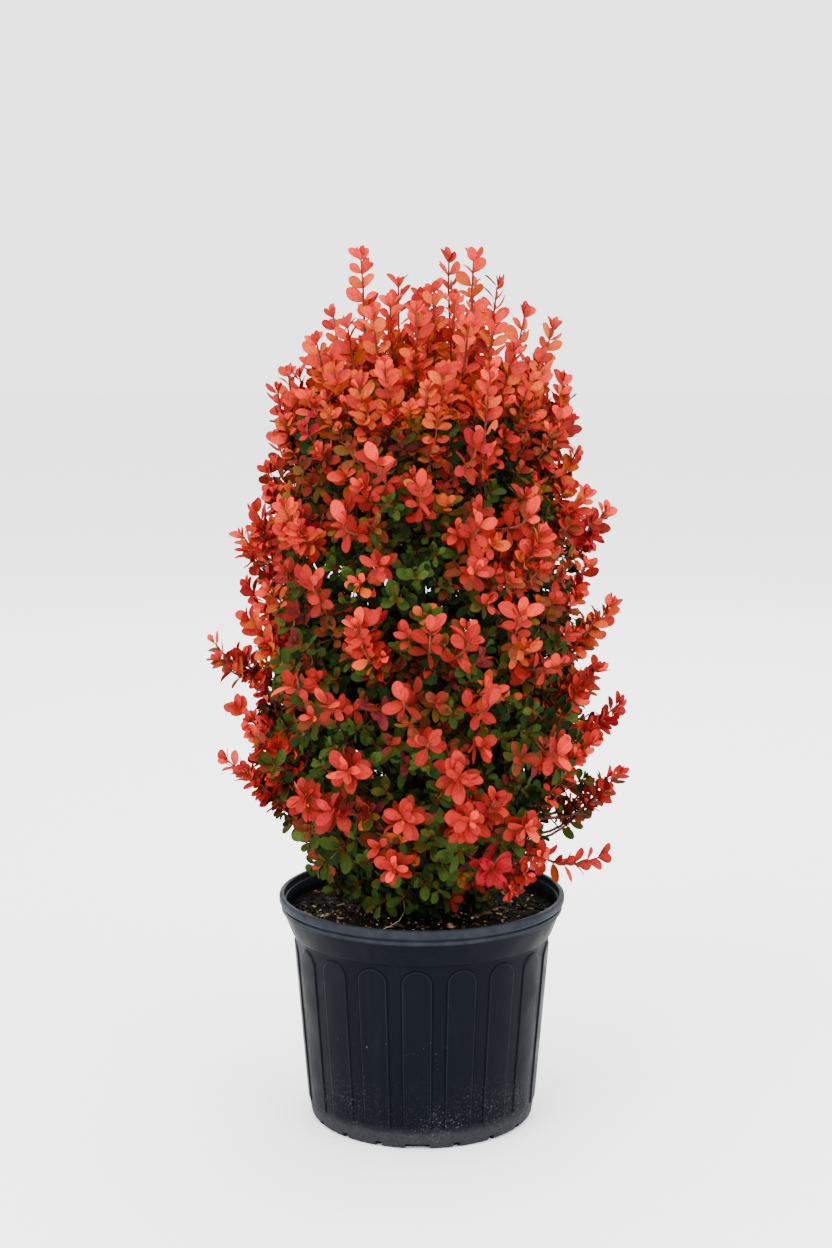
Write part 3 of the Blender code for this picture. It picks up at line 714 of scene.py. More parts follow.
def bark_finish(name, dark, light, relief):
    """Bark in fine upright ridges, blotched with its darker colour."""
    finish = Finish(name, roughness=0.82, specular=0.12)
    ridges = finish.noise(260, 5, 0.65, finish.stretched((1.0, 1.0, 0.22)))
    blotches = finish.noise(60, 3)
    shade = finish.blend(finish.spread(ridges, 0.35, 0.68), dark, light)
    finish.colour(finish.blend(finish.spread(blotches, 0.5, 0.75, 0.0, 0.5), shade, dark))
    finish.roughness(finish.spread(blotches, 0.3, 0.7, 0.7, 0.9))
    finish.bump(ridges, relief)
    return finish.material


def leaf_finish(name, colour, stalk_colour, gloss):
    """A leaf of one tint, paler on its veins, tinged at its stalk, a little uneven from leaf to leaf, and
    lightened and darkened by its tone, which holds painted light and painted shade.
    """
    finish = Finish(name, roughness=gloss, specular=0.025)
    surface = finish.add("ShaderNodeUVMap", uv_map="leaf").outputs["UV"]
    parts = finish.add("ShaderNodeSeparateXYZ", {0: surface})
    across = finish.size(finish.minus(parts.outputs["X"], 0.5))
    along = parts.outputs["Y"]
    midrib = finish.spread(across, 0.0, 0.045, 1.0, 0.0)
    slant = finish.minus(finish.times(along, 44.0), finish.times(across, 38.0))
    side_veins = finish.spread(finish.math("SINE", slant), 0.72, 1.0)
    veins = finish.math("MAXIMUM", midrib, finish.times(side_veins, 0.6))
    mottle = finish.noise(280, 3, 0.6)
    deep = scaled(colour, 0.48)
    pale = scaled(colour, 1.55, 0.003)
    # Painted light and shade: the tone runs from a darkened to a lightened copy of the tint, darker in the
    # deeper layers and lower nodes, lighter near the crown's top and on the standing shoots, and a little at
    # random
    lit_and_shaded_tint = finish.blend(finish.spread(finish.tone(), -1.0, 1.0), deep, pale)
    mottled = finish.blend(finish.spread(mottle, 0.42, 0.70, 0.0, 0.42), lit_and_shaded_tint, deep)
    flecked = finish.blend(finish.spread(finish.noise(900, 3, 0.7), 0.40, 0.62, 0.0, 0.50), mottled, deep)
    tinged = finish.blend(finish.spread(along, 0.05, 0.45, 0.50, 0.0), flecked, stalk_colour)
    # Darker towards the margin: the leaf's own darker edge, and painted shade that outlines each leaf against
    # its neighbours
    edged = finish.blend(finish.spread(across, 0.36, 0.5, 0.0, 0.45), tinged, deep)
    finish.colour(finish.blend(finish.times(veins, 0.42), edged, pale))
    finish.roughness(finish.spread(mottle, 0.3, 0.7, gloss - 0.06, gloss + 0.08))
    finish.bump(finish.minus(finish.times(mottle, 0.3), veins), 0.00022, 0.8)
    return finish.material


def stage_finish(settings):
    """A plain pale floor."""
    finish = Finish("studio_floor", roughness=0.9, specular=0.1)
    pale = settings.floor_colour
    finish.colour(finish.blend(finish.noise(2.0, 2), pale, scaled(pale, 0.99)))
    return finish.material


# Mesh helpers


def keep_piece(name, mesh, material, slot, *nodes):
    """Links a mesh as a finished piece that rides on the body and stands for the given nodes."""
    mesh.materials.clear()
    mesh.materials.append(material)
    mesh.validate()
    piece = bpy.data.objects.new(name, mesh)
    bpy.context.scene.collection.objects.link(piece)
    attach(piece, BODY)
    if nodes:
        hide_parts(*nodes)


def mesh_from(bm, name, smooth_degrees=None):
    bmesh.ops.recalc_face_normals(bm, faces=bm.faces)
    mesh = bpy.data.meshes.new(name)
    bm.to_mesh(mesh)
    bm.free()
    if smooth_degrees is not None:
        mesh.shade_smooth()
        mesh.set_sharp_from_angle(angle=math.radians(smooth_degrees))
    return mesh


def modified(mesh, kind, **settings):
    """The mesh after one applied modifier."""
    obj = bpy.data.objects.new("modified", mesh)
    bpy.context.scene.collection.objects.link(obj)
    modifier = obj.modifiers.new("shaping", kind)
    for name, value in settings.items():
        setattr(modifier, name, value)
    bpy.context.view_layer.update()
    made = bpy.data.meshes.new_from_object(obj.evaluated_get(bpy.context.evaluated_depsgraph_get()))
    bpy.data.objects.remove(obj)
    return made


def nodes_named(start):
    return [name for name in sorted(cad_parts) if name.startswith(start)]


def spun_profile(profile, columns):
    """A bmesh turned from (radius, height) points, closed where the profile meets the axis."""
    bm = bmesh.new()
    verts = [bm.verts.new((radius, 0.0, height)) for radius, height in profile]
    edges = [bm.edges.new(pair) for pair in zip(verts, verts[1:])]
    bmesh.ops.spin(
        bm, geom=verts + edges, cent=(0, 0, 0), axis=(0, 0, 1), angle=2 * math.pi, steps=columns,
        use_merge=True,
    )
    poles = [vert for vert in bm.verts if math.hypot(vert.co.x, vert.co.y) < ON_AXIS]
    bmesh.ops.remove_doubles(bm, verts=poles, dist=POLE_MERGE)
    return bm


def arc(centre, radius, start, end, steps):
    """Points (r, z) on an arc of the profile plane, with angles in degrees."""
    angles = [math.radians(start + (end - start) * i / steps) for i in range(steps + 1)]
    return [(centre[0] + radius * math.cos(a), centre[1] + radius * math.sin(a)) for a in angles]


def swept_tube(bm, path, radii, sides):
    """Extrudes a circle along a path of (point, direction), and caps both ends."""
    side = path[0][1].orthogonal().normalized()
    ring = None
    for (point, way), radius in zip(path, radii):
        side = (side - way * side.dot(way)).normalized()
        across = way.cross(side)
        turned = Matrix((side, across, way)).transposed().to_4x4()
        placed = Matrix.Translation(point) @ turned @ Matrix.Scale(radius, 4)
        if ring is None:
            made = bmesh.ops.create_circle(bm, cap_ends=True, radius=1.0, segments=sides, matrix=placed)
            ring = made["verts"]
            edges = list({edge for vert in ring for edge in vert.link_edges})
        else:
            grown = bmesh.ops.extrude_edge_only(bm, edges=edges)["geom"]
            ring = [item for item in grown if isinstance(item, bmesh.types.BMVert)]
            edges = [item for item in grown if isinstance(item, bmesh.types.BMEdge)
                     and all(vert in ring for vert in item.verts)]
            bmesh.ops.transform(bm, matrix=placed @ last.inverted(), verts=ring)
        last = placed
    bmesh.ops.contextual_create(bm, geom=edges)


class Bits:
    """Many copies of small shapes, gathered as arrays and joined into one mesh."""

    def __init__(self):
        self.coords = []
        self.loops = []
        self.counts = []
        self.uvs = []
        self.tones = []
        self.total = 0

    def add(self, shape, frames, places, tones):
        """Places one shape by 3x3 frames, whose columns are its axes, at each place."""
        coords, loops, counts, uvs = shape
        copies = len(places)
        if copies == 0:
            return
        turned = np.einsum("kj,nij->nki", coords, np.asarray(frames))
        made = turned + np.asarray(places)[:, None, :]
        starts = self.total + np.arange(copies)[:, None] * len(coords)
        self.coords.append(made.reshape(-1, 3))
        self.loops.append((loops[None, :] + starts).ravel())
        self.counts.append(np.tile(counts, copies))
        self.uvs.append(np.tile(uvs, (copies, 1)))
        self.tones.append(np.repeat(np.asarray(tones), len(coords)))
        self.total += copies * len(coords)

    def add_placed(self, shape):
        """Adds a shape that already lies in its place."""
        self.add(shape, [np.identity(3)], [np.zeros(3)], [0.0])

    def mesh(self, name):
        coords = np.concatenate(self.coords).astype(np.float32)
        loops = np.concatenate(self.loops).astype(np.int32)
        counts = np.concatenate(self.counts).astype(np.int32)
        mesh = bpy.data.meshes.new(name)
        mesh.vertices.add(len(coords))
        mesh.vertices.foreach_set("co", coords.ravel())
        mesh.loops.add(len(loops))
        mesh.loops.foreach_set("vertex_index", loops)
        mesh.polygons.add(len(counts))
        mesh.polygons.foreach_set("loop_start", (np.cumsum(counts) - counts).astype(np.int32))
        mesh.update(calc_edges=True)
        uvs = np.concatenate(self.uvs).astype(np.float32)
        mesh.uv_layers.new(name="leaf").data.foreach_set("uv", uvs.ravel())
        tone = mesh.attributes.new("tone", "FLOAT", "POINT")
        tone.data.foreach_set("value", np.concatenate(self.tones).astype(np.float32))
        mesh.shade_smooth()
        return mesh


def shape_from(bm):
    """A bmesh as arrays for Bits: coordinates, vertex of each loop, loops of each face and UVs."""
    bm.verts.index_update()
    layer = bm.loops.layers.uv.active
    coords = np.array([tuple(vert.co) for vert in bm.verts])
    loops = np.array([loop.vert.index for face in bm.faces for loop in face.loops])
    counts = np.array([len(face.loops) for face in bm.faces])
    uvs = np.array([
        tuple(loop[layer].uv) if layer else (0.5, 0.5) for face in bm.faces for loop in face.loops
    ])
    bm.free()
    return coords, loops, counts, uvs


def leaf_shape(outline, cup, arch, twist):
    """A blade of length and width 1 along +Y that faces +Z, folded on its midrib and arched."""
    rows = len(outline) - 1
    bm = bmesh.new()
    bm.loops.layers.uv.new("leaf")
    bmesh.ops.create_grid(bm, x_segments=2, y_segments=rows, size=0.5, calc_uvs=True)
    for vert in bm.verts:
        along, half = outline[round((vert.co.y + 0.5) * rows)]
        across = vert.co.x * 2
        lift = cup * half * abs(across) ** CUP_POWER - arch * (along - ARCH_MIDDLE) ** 2 + arch * ARCH_LIFT
        turn = twist * along
        x = across * half / 2
        vert.co = (x * math.cos(turn), along, lift + x * math.sin(turn))
    return shape_from(bm)


def cone_shape(sides):
    """A spine of length 1 along +Y."""
    bm = bmesh.new()
    turned = Matrix.Translation((0, 0.5, 0)) @ Matrix.Rotation(math.radians(-90), 4, "X")
    bmesh.ops.create_cone(
        bm, cap_ends=True, segments=sides, radius1=1.0, radius2=0.0, depth=1.0, matrix=turned,
    )
    return shape_from(bm)


def lump_shape(chance, stretch, subdivisions):
    """An uneven pebble of radius about 1."""
    bm = bmesh.new()
    bmesh.ops.create_icosphere(bm, subdivisions=subdivisions, radius=1.0)
    for vert in bm.verts:
        swollen = vert.co * chance.uniform(*LUMP_UNEVENNESS)
        vert.co = Vector(coordinate * factor for coordinate, factor in zip(swollen, stretch))
    return shape_from(bm)


def chip_shape(chance):
    """A splinter of bark with bevelled, uneven ends."""
    bm = bmesh.new()
    bmesh.ops.create_cube(bm, size=2.0)
    bmesh.ops.bevel(
        bm, geom=bm.edges[:], offset=CHIP_BEVEL, offset_type="OFFSET", segments=1, profile=0.5,
        affect="EDGES", material=-1,
    )
    for vert in bm.verts:
        vert.co = vert.co * chance.uniform(*CHIP_UNEVENNESS)
    return shape_from(bm)


def tube_shape(path, radii, sides):
    """Rings of vertices round a path joined into quads, as arrays for Bits, open at the foot."""
    side = path[0][1].orthogonal().normalized()
    turns = np.arange(sides) * 2 * math.pi / sides
    rings = []
    for (point, way), radius in zip(path, radii):
        side = (side - way * side.dot(way)).normalized()
        across = np.array(way.cross(side))
        ring = np.cos(turns)[:, None] * np.array(side) + np.sin(turns)[:, None] * across
        rings.append(np.array(point) + radius * ring)
    tip = np.array(path[-1][0] + path[-1][1] * radii[-1])
    coords = np.vstack(rings + [tip])
    count = len(rings)
    lower = np.arange(count - 1)[:, None] * sides + np.arange(sides)
    following = np.arange(count - 1)[:, None] * sides + (np.arange(sides) + 1) % sides
    quads = np.stack((lower, following, following + sides, lower + sides), axis=-1).reshape(-1, 4)
    last = (count - 1) * sides
    cap = [(last + i, last + (i + 1) % sides, count * sides) for i in range(sides)]
    loops = np.concatenate((quads.ravel(), np.array(cap).ravel()))
    counts = np.array([4] * len(quads) + [3] * sides)
    return coords, loops, counts, np.full((len(loops), 2), 0.5)


# Pot


def body_radius(height):
    """Outer radius of the tapering body in its grooves, between the foot and the collar."""
    share = (height - FOOT_HEIGHT) / (BODY_TOP - FOOT_HEIGHT)
    return BODY_BASE_RADIUS + share * (BODY_TOP_RADIUS - BODY_BASE_RADIUS)


def body_rows():
    """Heights of the body's rows, close together where the panels end and where their arches turn."""
    arch_foot = FLUTE_TOP - ARCH_HEIGHT
    foot = list(np.arange(FLUTE_BASE - ROWS_UNDER, FLUTE_BASE + ROWS_OVER_FOOT, FOOT_ROW_STEP))
    middle = list(np.arange(FLUTE_BASE + BODY_ROW_STEP, arch_foot - BODY_ROW_STEP / 2, BODY_ROW_STEP))
    arch = list(np.arange(arch_foot - ROWS_UNDER, FLUTE_TOP + ROWS_OVER_TOP, ARCH_ROW_STEP))
    return foot + middle + arch


def pot_profile():
    """(r, z) from the underside's middle, up the outside, over the lip and down to the floor's middle."""
    lip_middle = RIM_RADIUS - LIP_CORNER
    outside = [(0.0, RECESS_DEPTH), (RECESS_RADIUS, RECESS_DEPTH), (RECESS_RADIUS + RECESS_DEPTH, 0.0)]
    outside += arc((UNDERSIDE_RADIUS, FOOT_CORNER), FOOT_CORNER, -90, -10, 6)
    outside += [(FOOT_RADIUS, FOOT_HEIGHT - 0.0006), (FOOT_RADIUS - 0.0003, FOOT_HEIGHT)]
    outside += [(body_radius(height), height) for height in body_rows()]
    outside += SHOULDER
    outside += arc((lip_middle, LIP_BASE + LIP_CORNER), LIP_CORNER, -85, 0, 6)
    outside += arc((lip_middle, POT_HEIGHT - LIP_CORNER), LIP_CORNER, 0, 90, 7)
    inside = arc((INNER_EDGE + LIP_BEVEL, POT_HEIGHT - LIP_BEVEL), LIP_BEVEL, 90, 180, 4)
    return outside + inside + list(INSIDE)


def flute_columns():
    """Bearings of the pot's columns, close together on both edges of each raised panel."""
    pitch = 2 * math.pi / FLUTES
    right = [math.radians(degrees) for degrees in FLUTE_COLUMN_DEGREES]
    turns_in_pitch = [-turn for turn in right[:0:-1]] + right + [pitch / 2]
    middles = [FRONT_FLUTE_BEARING + flute * pitch for flute in range(FLUTES)]
    return [middle + turn for middle in middles for turn in turns_in_pitch]


def panel_depth(turn, height):
    """How far inside a raised panel's arched outline a point lies, in metres."""
    half = math.radians(360 / FLUTES * FLUTE_SHARE / 2) * body_radius(height)
    across = abs(turn) * body_radius(height)
    over_arch = max(0.0, height - (FLUTE_TOP - ARCH_HEIGHT))
    arched = (1 - math.hypot(across / half, over_arch / ARCH_HEIGHT)) * min(half, ARCH_HEIGHT)
    inside = arched if over_arch > 0.0 else half - across
    return min(inside, height - FLUTE_BASE)


def shape_panels(bm, columns, rise):
    """Turns each column to its bearing and raises the arched panels out of the body."""
    pitch = 2 * math.pi / FLUTES
    step = 2 * math.pi / len(columns)
    under, over = PANEL_MARGINS
    for vert in bm.verts:
        radius = math.hypot(vert.co.x, vert.co.y)
        if radius < ON_AXIS:
            continue
        column = round(math.atan2(vert.co.y, vert.co.x) / step) % len(columns)
        bearing = columns[column]
        beside_panels = FLUTE_BASE - under < vert.co.z < FLUTE_TOP + over
        if beside_panels and radius > BODY_BASE_RADIUS - WALL / 2:
            turn = (bearing - FRONT_FLUTE_BEARING + pitch / 2) % pitch - pitch / 2
            radius += rise * smooth_step(0.5 + panel_depth(turn, vert.co.z) / FLUTE_EDGE)
        vert.co = polar(radius, bearing, vert.co.z)


def drain_cutters():
    """One bevelled slot through the pot's bottom corner under each panel, wider under every sixth."""
    bm = bmesh.new()
    depth = DRAIN_OUTER_RADIUS - DRAIN_INNER_RADIUS
    middle = Matrix.Translation(((DRAIN_OUTER_RADIUS + DRAIN_INNER_RADIUS) / 2, 0, 0))
    for flute in range(FLUTES):
        width = WIDE_DRAIN_WIDTH if flute % WIDE_DRAIN_EVERY == 0 else DRAIN_WIDTH
        turned = Matrix.Rotation(FRONT_FLUTE_BEARING + flute * 2 * math.pi / FLUTES, 4, "Z")
        scale = Matrix.Diagonal((depth, width, 2 * DRAIN_HEIGHT, 1.0))
        cube = bmesh.ops.create_cube(bm, size=1.0, matrix=middle @ scale)["verts"]
        edges = {edge for vert in cube for edge in vert.link_edges}
        radial = [edge for edge in edges if abs((edge.verts[0].co - edge.verts[1].co).x) > depth / 2]
        made = bmesh.ops.bevel(
            bm, geom=radial, offset=DRAIN_BEVEL, offset_type="OFFSET", segments=3, profile=0.5,
            affect="EDGES", material=-1,
        )
        verts = set(made["verts"]) | {vert for vert in cube if vert.is_valid}
        bmesh.ops.transform(bm, matrix=turned, verts=list(verts))
    return mesh_from(bm, "drain_cutters")


def cut(target, cutter_mesh):
    """Takes a mesh out of another mesh by one applied Boolean."""
    cutter = bpy.data.objects.new("cutter", cutter_mesh)
    bpy.context.scene.collection.objects.link(cutter)
    made = modified(target, "BOOLEAN", operation="DIFFERENCE", solver="EXACT", object=cutter)
    bpy.data.objects.remove(cutter)
    return made


def build_pot(settings):
    columns = flute_columns()
    bm = spun_profile(pot_profile(), len(columns))
    shape_panels(bm, columns, settings.panel_rise)
    pot = cut(mesh_from(bm, "nursery_pot"), drain_cutters())
    pot.shade_smooth()
    pot.set_sharp_from_angle(angle=math.radians(POT_SHARP_DEGREES))
    keep_piece("nursery_pot", pot, pot_finish(settings), "pot_plastic", "pot")


# Growing mix


def mix_level(x, y):
    """Height of the growing mix's rough surface."""
    radius = math.hypot(x, y)
    stations = ((0.0, MIX_LEVEL), (MIX_SHOULDER_RADIUS, MIX_SHOULDER_LEVEL), (MIX_RADIUS, MIX_EDGE_LEVEL))
    smooth = float(np.interp(radius, *zip(*stations)))
    coarse = noise.fractal(Vector((x, y, 0.0)) * COARSE_LUMPS, *LUMP_NOISE)
    fine = noise.noise(Vector((x, y, 3.0)) * FINE_LUMPS)
    calm = smooth_step((MIX_RADIUS - radius) / MIX_CALM_EDGE)
    return smooth - MIX_SETTLED + calm * MIX_LUMP * (COARSE_SHARE * coarse + FINE_SHARE * fine)


def build_mix_surface(settings):
    """The filled pot's mix: smooth against the pot, and lumpy on top."""
    radii = [MIX_RADIUS * (1 - (i / MIX_ROWS) ** MIX_ROW_CROWDING) for i in range(MIX_ROWS)]
    top = [(radius, MIX_EDGE_LEVEL) for radius in radii + [0.0]]
    bm = spun_profile([(0.0, FLOOR + CLEARANCE), *MIX_SIDE, *top], MIX_COLUMNS)
    for vert in bm.verts:
        if vert.co.z > MIX_EDGE_LEVEL - CLEARANCE:
            vert.co.z = mix_level(vert.co.x, vert.co.y)
    mesh = mesh_from(bm, "growing_mix_surface", MIX_SHARP_DEGREES)
    keep_piece("growing_mix_surface", mesh, mix_finish(settings), "growing_mix", "growing_mix")


def scattered_spots(chance, count, reach):
    """Random places on the growing mix within a radius."""
    spots = []
    for _ in range(count):
        radius = reach * math.sqrt(chance.random())
        bearing = chance.uniform(0, 2 * math.pi)
        x, y = radius * math.cos(bearing), radius * math.sin(bearing)
        spots.append((x, y, mix_level(x, y)))
    return spots


def lying_frame(chance, length, width, thickness, lean):
    """A frame for a bit that lies about flat: its long axis leans by up to lean degrees."""
    turned = (
        Matrix.Rotation(chance.uniform(0, 2 * math.pi), 3, "Z")
        @ Matrix.Rotation(math.radians(chance.uniform(-lean, lean)), 3, "X")
        @ Matrix.Rotation(math.radians(chance.uniform(-BIT_ROLL, BIT_ROLL)), 3, "Y")
    )
    return np.array(turned) * np.array((width, length, thickness))


def bark_chips(chance, count):
    """Splinters of bark, most of them small and dark."""
    chips = Bits()
    for _ in range(CHIP_KINDS):
        shape = chip_shape(chance)
        spots = scattered_spots(chance, count // CHIP_KINDS, MIX_RADIUS - BITS_FROM_EDGE)
        frames, tones = [], []
        for _spot in spots:
            size = chance.uniform(*(FINE_CHIPS if chance.random() < FINE_CHIP_CHANCE else COARSE_CHIPS))
            width = size * chance.uniform(*CHIP_WIDTH)
            thickness = size * chance.uniform(*CHIP_THICKNESS)
            frames.append(lying_frame(chance, size, width, thickness, CHIP_LEAN))
            tones.append(chance.triangular(-1.0, 1.0, CHIP_TONE))
        chips.add(shape, frames, spots, tones)
    return chips.mesh("bark_chips")


def scattered_lumps(chance, name, kinds, count, reach, stretch, subdivisions, sizes, tone_spread):
    """Pebbles of a few shapes, scattered over the mix."""
    lumps = Bits()
    for _ in range(kinds):
        shape = lump_shape(chance, stretch, subdivisions)
        spots = scattered_spots(chance, count // kinds, reach)
        frames = []
        for _spot in spots:
            size = chance.uniform(*sizes)
            frames.append(lying_frame(chance, size, size, size, LUMP_LEAN))
        tones = [chance.uniform(-tone_spread, tone_spread) if tone_spread else 0.0 for _spot in spots]
        lumps.add(shape, frames, spots, tones)
    return lumps.mesh(name)


def build_mix_bits(settings):
    """The bark chips, perlite and crumbs that lie on the mix."""
    chance = random.Random("mix bits")
    reach = MIX_RADIUS - BITS_FROM_EDGE
    keep_piece("bark_chips", bark_chips(chance, settings.chips), chip_finish(settings), "growing_mix")
    perlite = scattered_lumps(
        chance, "perlite", PERLITE_KINDS, settings.perlite, reach, PERLITE_STRETCH, 2, PERLITE_SIZES, 0.0,
    )
    keep_piece("perlite", perlite, perlite_finish(settings), "growing_mix")
    crumbs = scattered_lumps(
        chance, "mix_crumbs", CRUMB_KINDS, settings.crumbs, MIX_RADIUS - CRUMBS_FROM_EDGE, CRUMB_STRETCH, 1,
        CRUMB_SIZES, 1.0,
    )
    keep_piece("mix_crumbs", crumbs, mix_finish(settings), "growing_mix")


def build_straw(settings):
    """A thin dry stalk that hangs from the lowest leaves and bends on the growing mix."""
    points = [Vector(point) for point in STALK_POINTS]
    path = []
    for index, point in enumerate(points):
        ahead = points[min(index + 1, len(points) - 1)] - points[max(index - 1, 0)]
        path.append((point, ahead.normalized()))
    bm = bmesh.new()
    swept_tube(bm, path, tapered(*STALK_RADII, len(points) - 1), STALK_SIDES)
    knot = Matrix.Translation(points[STALK_KNOT]) @ Matrix.Diagonal((*STALK_KNOT_SIZE, 1.0))
    bmesh.ops.create_icosphere(bm, subdivisions=2, radius=1.0, matrix=knot)
    mesh = mesh_from(bm, "dry_stalk", BARK_SHARP_DEGREES)
    keep_piece("dry_stalk", mesh, straw_finish(settings), "growing_mix")


# Growth: the crown's masses, limbs, shoots and leaves


def crown_radius(height):
    heights, radii = zip(*CROWN_STATIONS)
    return float(np.interp(height, heights, radii))


def crown_share(height):
    """0 at the crown's foot and 1 at its top."""
    return min(1.0, max(0.0, (height - CROWN_FOOT) / (CROWN_TOP - CROWN_FOOT)))


class Mass:
    """One mass of foliage: its heart, and the gate where its bough ends and its own stem begins."""

    def __init__(self, tier, number):
        bearing = math.radians(tier["first"] + 360 * number / tier["count"])
        stub_radius, stub_height, stub_tilt = tier["stub"]
        gate_radius, gate_height, gate_tilt = tier["gate"]
        heart_radius, heart_height = tier["heart"]
        lift = STAGGER * math.cos(4 * math.pi * number / tier["count"]) if tier["count"] > 1 else 0.0
        self.name = f"{tier['name']}_{number + 1}" if tier["count"] > 1 else tier["name"]
        self.heart = polar(heart_radius, bearing, heart_height + lift)
        self.gate = polar(gate_radius, bearing, gate_height + lift / 2)
        self.gate_way = tilted(bearing, math.radians(gate_tilt))
        self.stub_root = polar(stub_radius, bearing, MIX_LEVEL + CLEARANCE + stub_height)
        self.stub_way = tilted(bearing, math.radians(stub_tilt))

    def stub_end(self):
        return self.stub_root + self.stub_way * STUB_LENGTH

    def bough_path(self, steps):
        start = self.stub_end() + self.stub_way * CLEARANCE
        return bend(start, self.stub_way, self.gate, self.gate_way, steps)

    def stem_path(self, steps):
        """The mass's own stem, from just past the bough's end to the heart."""
        start = self.gate + self.gate_way * CLEARANCE
        end = under_dome(self.heart)
        return bend(start, self.gate_way, end, (end - self.gate).normalized(), steps)


def all_masses():
    return [Mass(tier, number) for tier in TIERS for number in range(tier["count"])]


def clear_of_pot(point, gap):
    """True above the growing mix and, further out, above the rim."""
    over_wall = math.hypot(point.x, point.y) > RIM_RADIUS - 3 * LIP_WIDTH
    return point.z > (POT_HEIGHT if over_wall else MIX_LEVEL) + gap


def leaf_may_reach(point):
    """True clear of the pot and within the solid model's reach."""
    low, high = CAD_BOUNDS
    inside = all(low[i] - REACH_ROOM <= point[i] <= high[i] + REACH_ROOM for i in range(3))
    return inside and clear_of_pot(point, LEAF_GAP)


def crown_spots(count):
    """Places spread evenly over the crown by the golden angle: (bearing, height, radius)."""
    heights = np.linspace(CROWN_FOOT, CROWN_TOP, CROWN_SAMPLES)
    radii = np.array([crown_radius(height) for height in heights])
    stretch = np.hypot(np.diff(heights), np.diff(radii))
    area = np.concatenate([[0.0], np.cumsum(stretch * (radii[1:] + radii[:-1]) / 2)])
    spots = []
    for i in range(count):
        height = float(np.interp((i + 0.5) / count * area[-1], area, heights))
        spots.append((i * GOLDEN_ANGLE, height, crown_radius(height)))
    return spots


def shoot_tilt(height):
    """How steeply a shoot's tip climbs: nearly level at the foot and upright at the top."""
    share = crown_share(height)
    at_foot, further_up, at_top = SHOOT_TILTS
    return math.radians(at_foot + further_up * share + at_top * share**4)


class Shoot:
    """A leafy twig: where it ends, the way it points there, its layer, leaf length and kind of nodes."""

    def __init__(self, end, way, layer, leaf_length, kind):
        self.end = end
        self.way = way
        self.layer = layer
        self.leaf_length = leaf_length
        self.kind = kind
        self.share = crown_share(end.z)


def front_sprays():
    """The large shoots that face the front."""
    shoots = []
    for kind, rows in FRONT_SPRAYS.items():
        for x, height, leaf_length, tilt in rows:
            radius = crown_radius(height) * SPRAY_STAND
            bearing = math.atan2(-math.sqrt(radius**2 - x**2), x)
            way = tilted(bearing, math.radians(tilt))
            shoots.append(Shoot(polar(radius, bearing, height), way, "spray", leaf_length, kind))
    return shoots


def long_shoots(settings, chance):
    """The long shoots on the crown's flanks, each with its companions, and lone ones near the foot."""
    shoots = []
    length = settings.leaf_length
    for degrees, height, reach in LONG_SHOOTS:
        lone = height <= LONE_BELOW
        bearing = math.radians(degrees)
        way = tilted(bearing, shoot_tilt(height) + (0.0 if lone else LONG_LIFT))
        end = polar(reach, bearing, height) - way * LONG_TIP_INSET
        shoots.append(Shoot(end, way, "long", length * (LONE_LEAF if lone else LONG_LEAF), "long"))
        sideways = way.cross(Vector((0, 0, 1))).normalized()
        upwards = sideways.cross(way)
        for _ in range(0 if lone else COMPANIONS):
            aside = sideways * chance.uniform(-COMPANION_ASIDE, COMPANION_ASIDE)
            aside += upwards * chance.uniform(*COMPANION_UP) * COMPANION_ASIDE
            beside = end - way * chance.uniform(*COMPANION_BACK) + aside
            parted = (way + aside * COMPANION_PARTING).normalized()
            shoots.append(Shoot(beside, parted, "long", length * chance.uniform(*COMPANION_LEAF), "leafy"))
    return shoots


def crest_shoots(settings, chance):
    """The upright shoots that stand out of the dome, and the ones that make the dome itself."""
    shoots = []
    length = settings.leaf_length
    for right, back, height in CREST_SPIKES:
        way = Vector((right * SPIKE_LEAN, back * SPIKE_LEAN, 1.0)).normalized()
        end = Vector((right, back, height)) - way * LONG_TIP_INSET
        shoots.append(Shoot(end, way, "spike", length * SPIKE_LEAF, "spike"))
    for i in range(CREST_SHOOTS):
        radius = CREST_RADIUS * math.sqrt((i + 0.5) / CREST_SHOOTS)
        spot = polar(radius, i * GOLDEN_ANGLE + CREST_TURN, 0.0)
        waver = [chance.uniform(-CREST_WAVER, CREST_WAVER) for _ in range(2)]
        way = (spot * CREST_LEAN + Vector((*waver, 1.0))).normalized()
        end = spot + Vector((0, 0, dome_height(radius) + chance.uniform(*CREST_RISE)))
        shoots.append(Shoot(end, way, "crest", length * chance.uniform(*CREST_LEAF), "long"))
    return shoots


def settled(height):
    """The height of a shoot on the dome, which lies lower than the shoots that stand out of it."""
    return height - CREST_DROP * smooth_step((crown_share(height) - CREST_DROP_FROM) / (1 - CREST_DROP_FROM))


def dome_height(radius):
    """Height of the dome's leaves at a distance from the crown's middle."""
    heights, radii = zip(*CROWN_STATIONS[:3:-1])
    return settled(float(np.interp(radius, radii, heights)))


def under_dome(point):
    """The point itself, or the place under it where the dome's leaves cover a limb."""
    return Vector((point.x, point.y, min(point.z, dome_height(point.xy.length) - LIMB_COVER)))


def in_hollow(point, share):
    """True in the deeper, greener parts of the crown's surface."""
    across, upright = HOLLOW_SCALE
    place = Vector((point.x * across, point.y * across, point.z * upright))
    return share < HOLLOW_TOP and noise.noise(place) > np.interp(share, PALETTE_LEVELS, HOLLOW_LEVELS)


def notch_depth(bearing, height):
    """How far the crown's outline draws in at a place."""
    depths = [0.0]
    for degrees, middle, depth in NOTCHES:
        turn = abs((bearing - math.radians(degrees) + math.pi) % (2 * math.pi) - math.pi)
        beside = smooth_step(NOTCH_FULLNESS * (1 - turn / NOTCH_TURN))
        level = smooth_step(NOTCH_FULLNESS * (1 - abs(height - middle) / NOTCH_HEIGHT))
        depths.append(depth * level * beside)
    return max(depths)


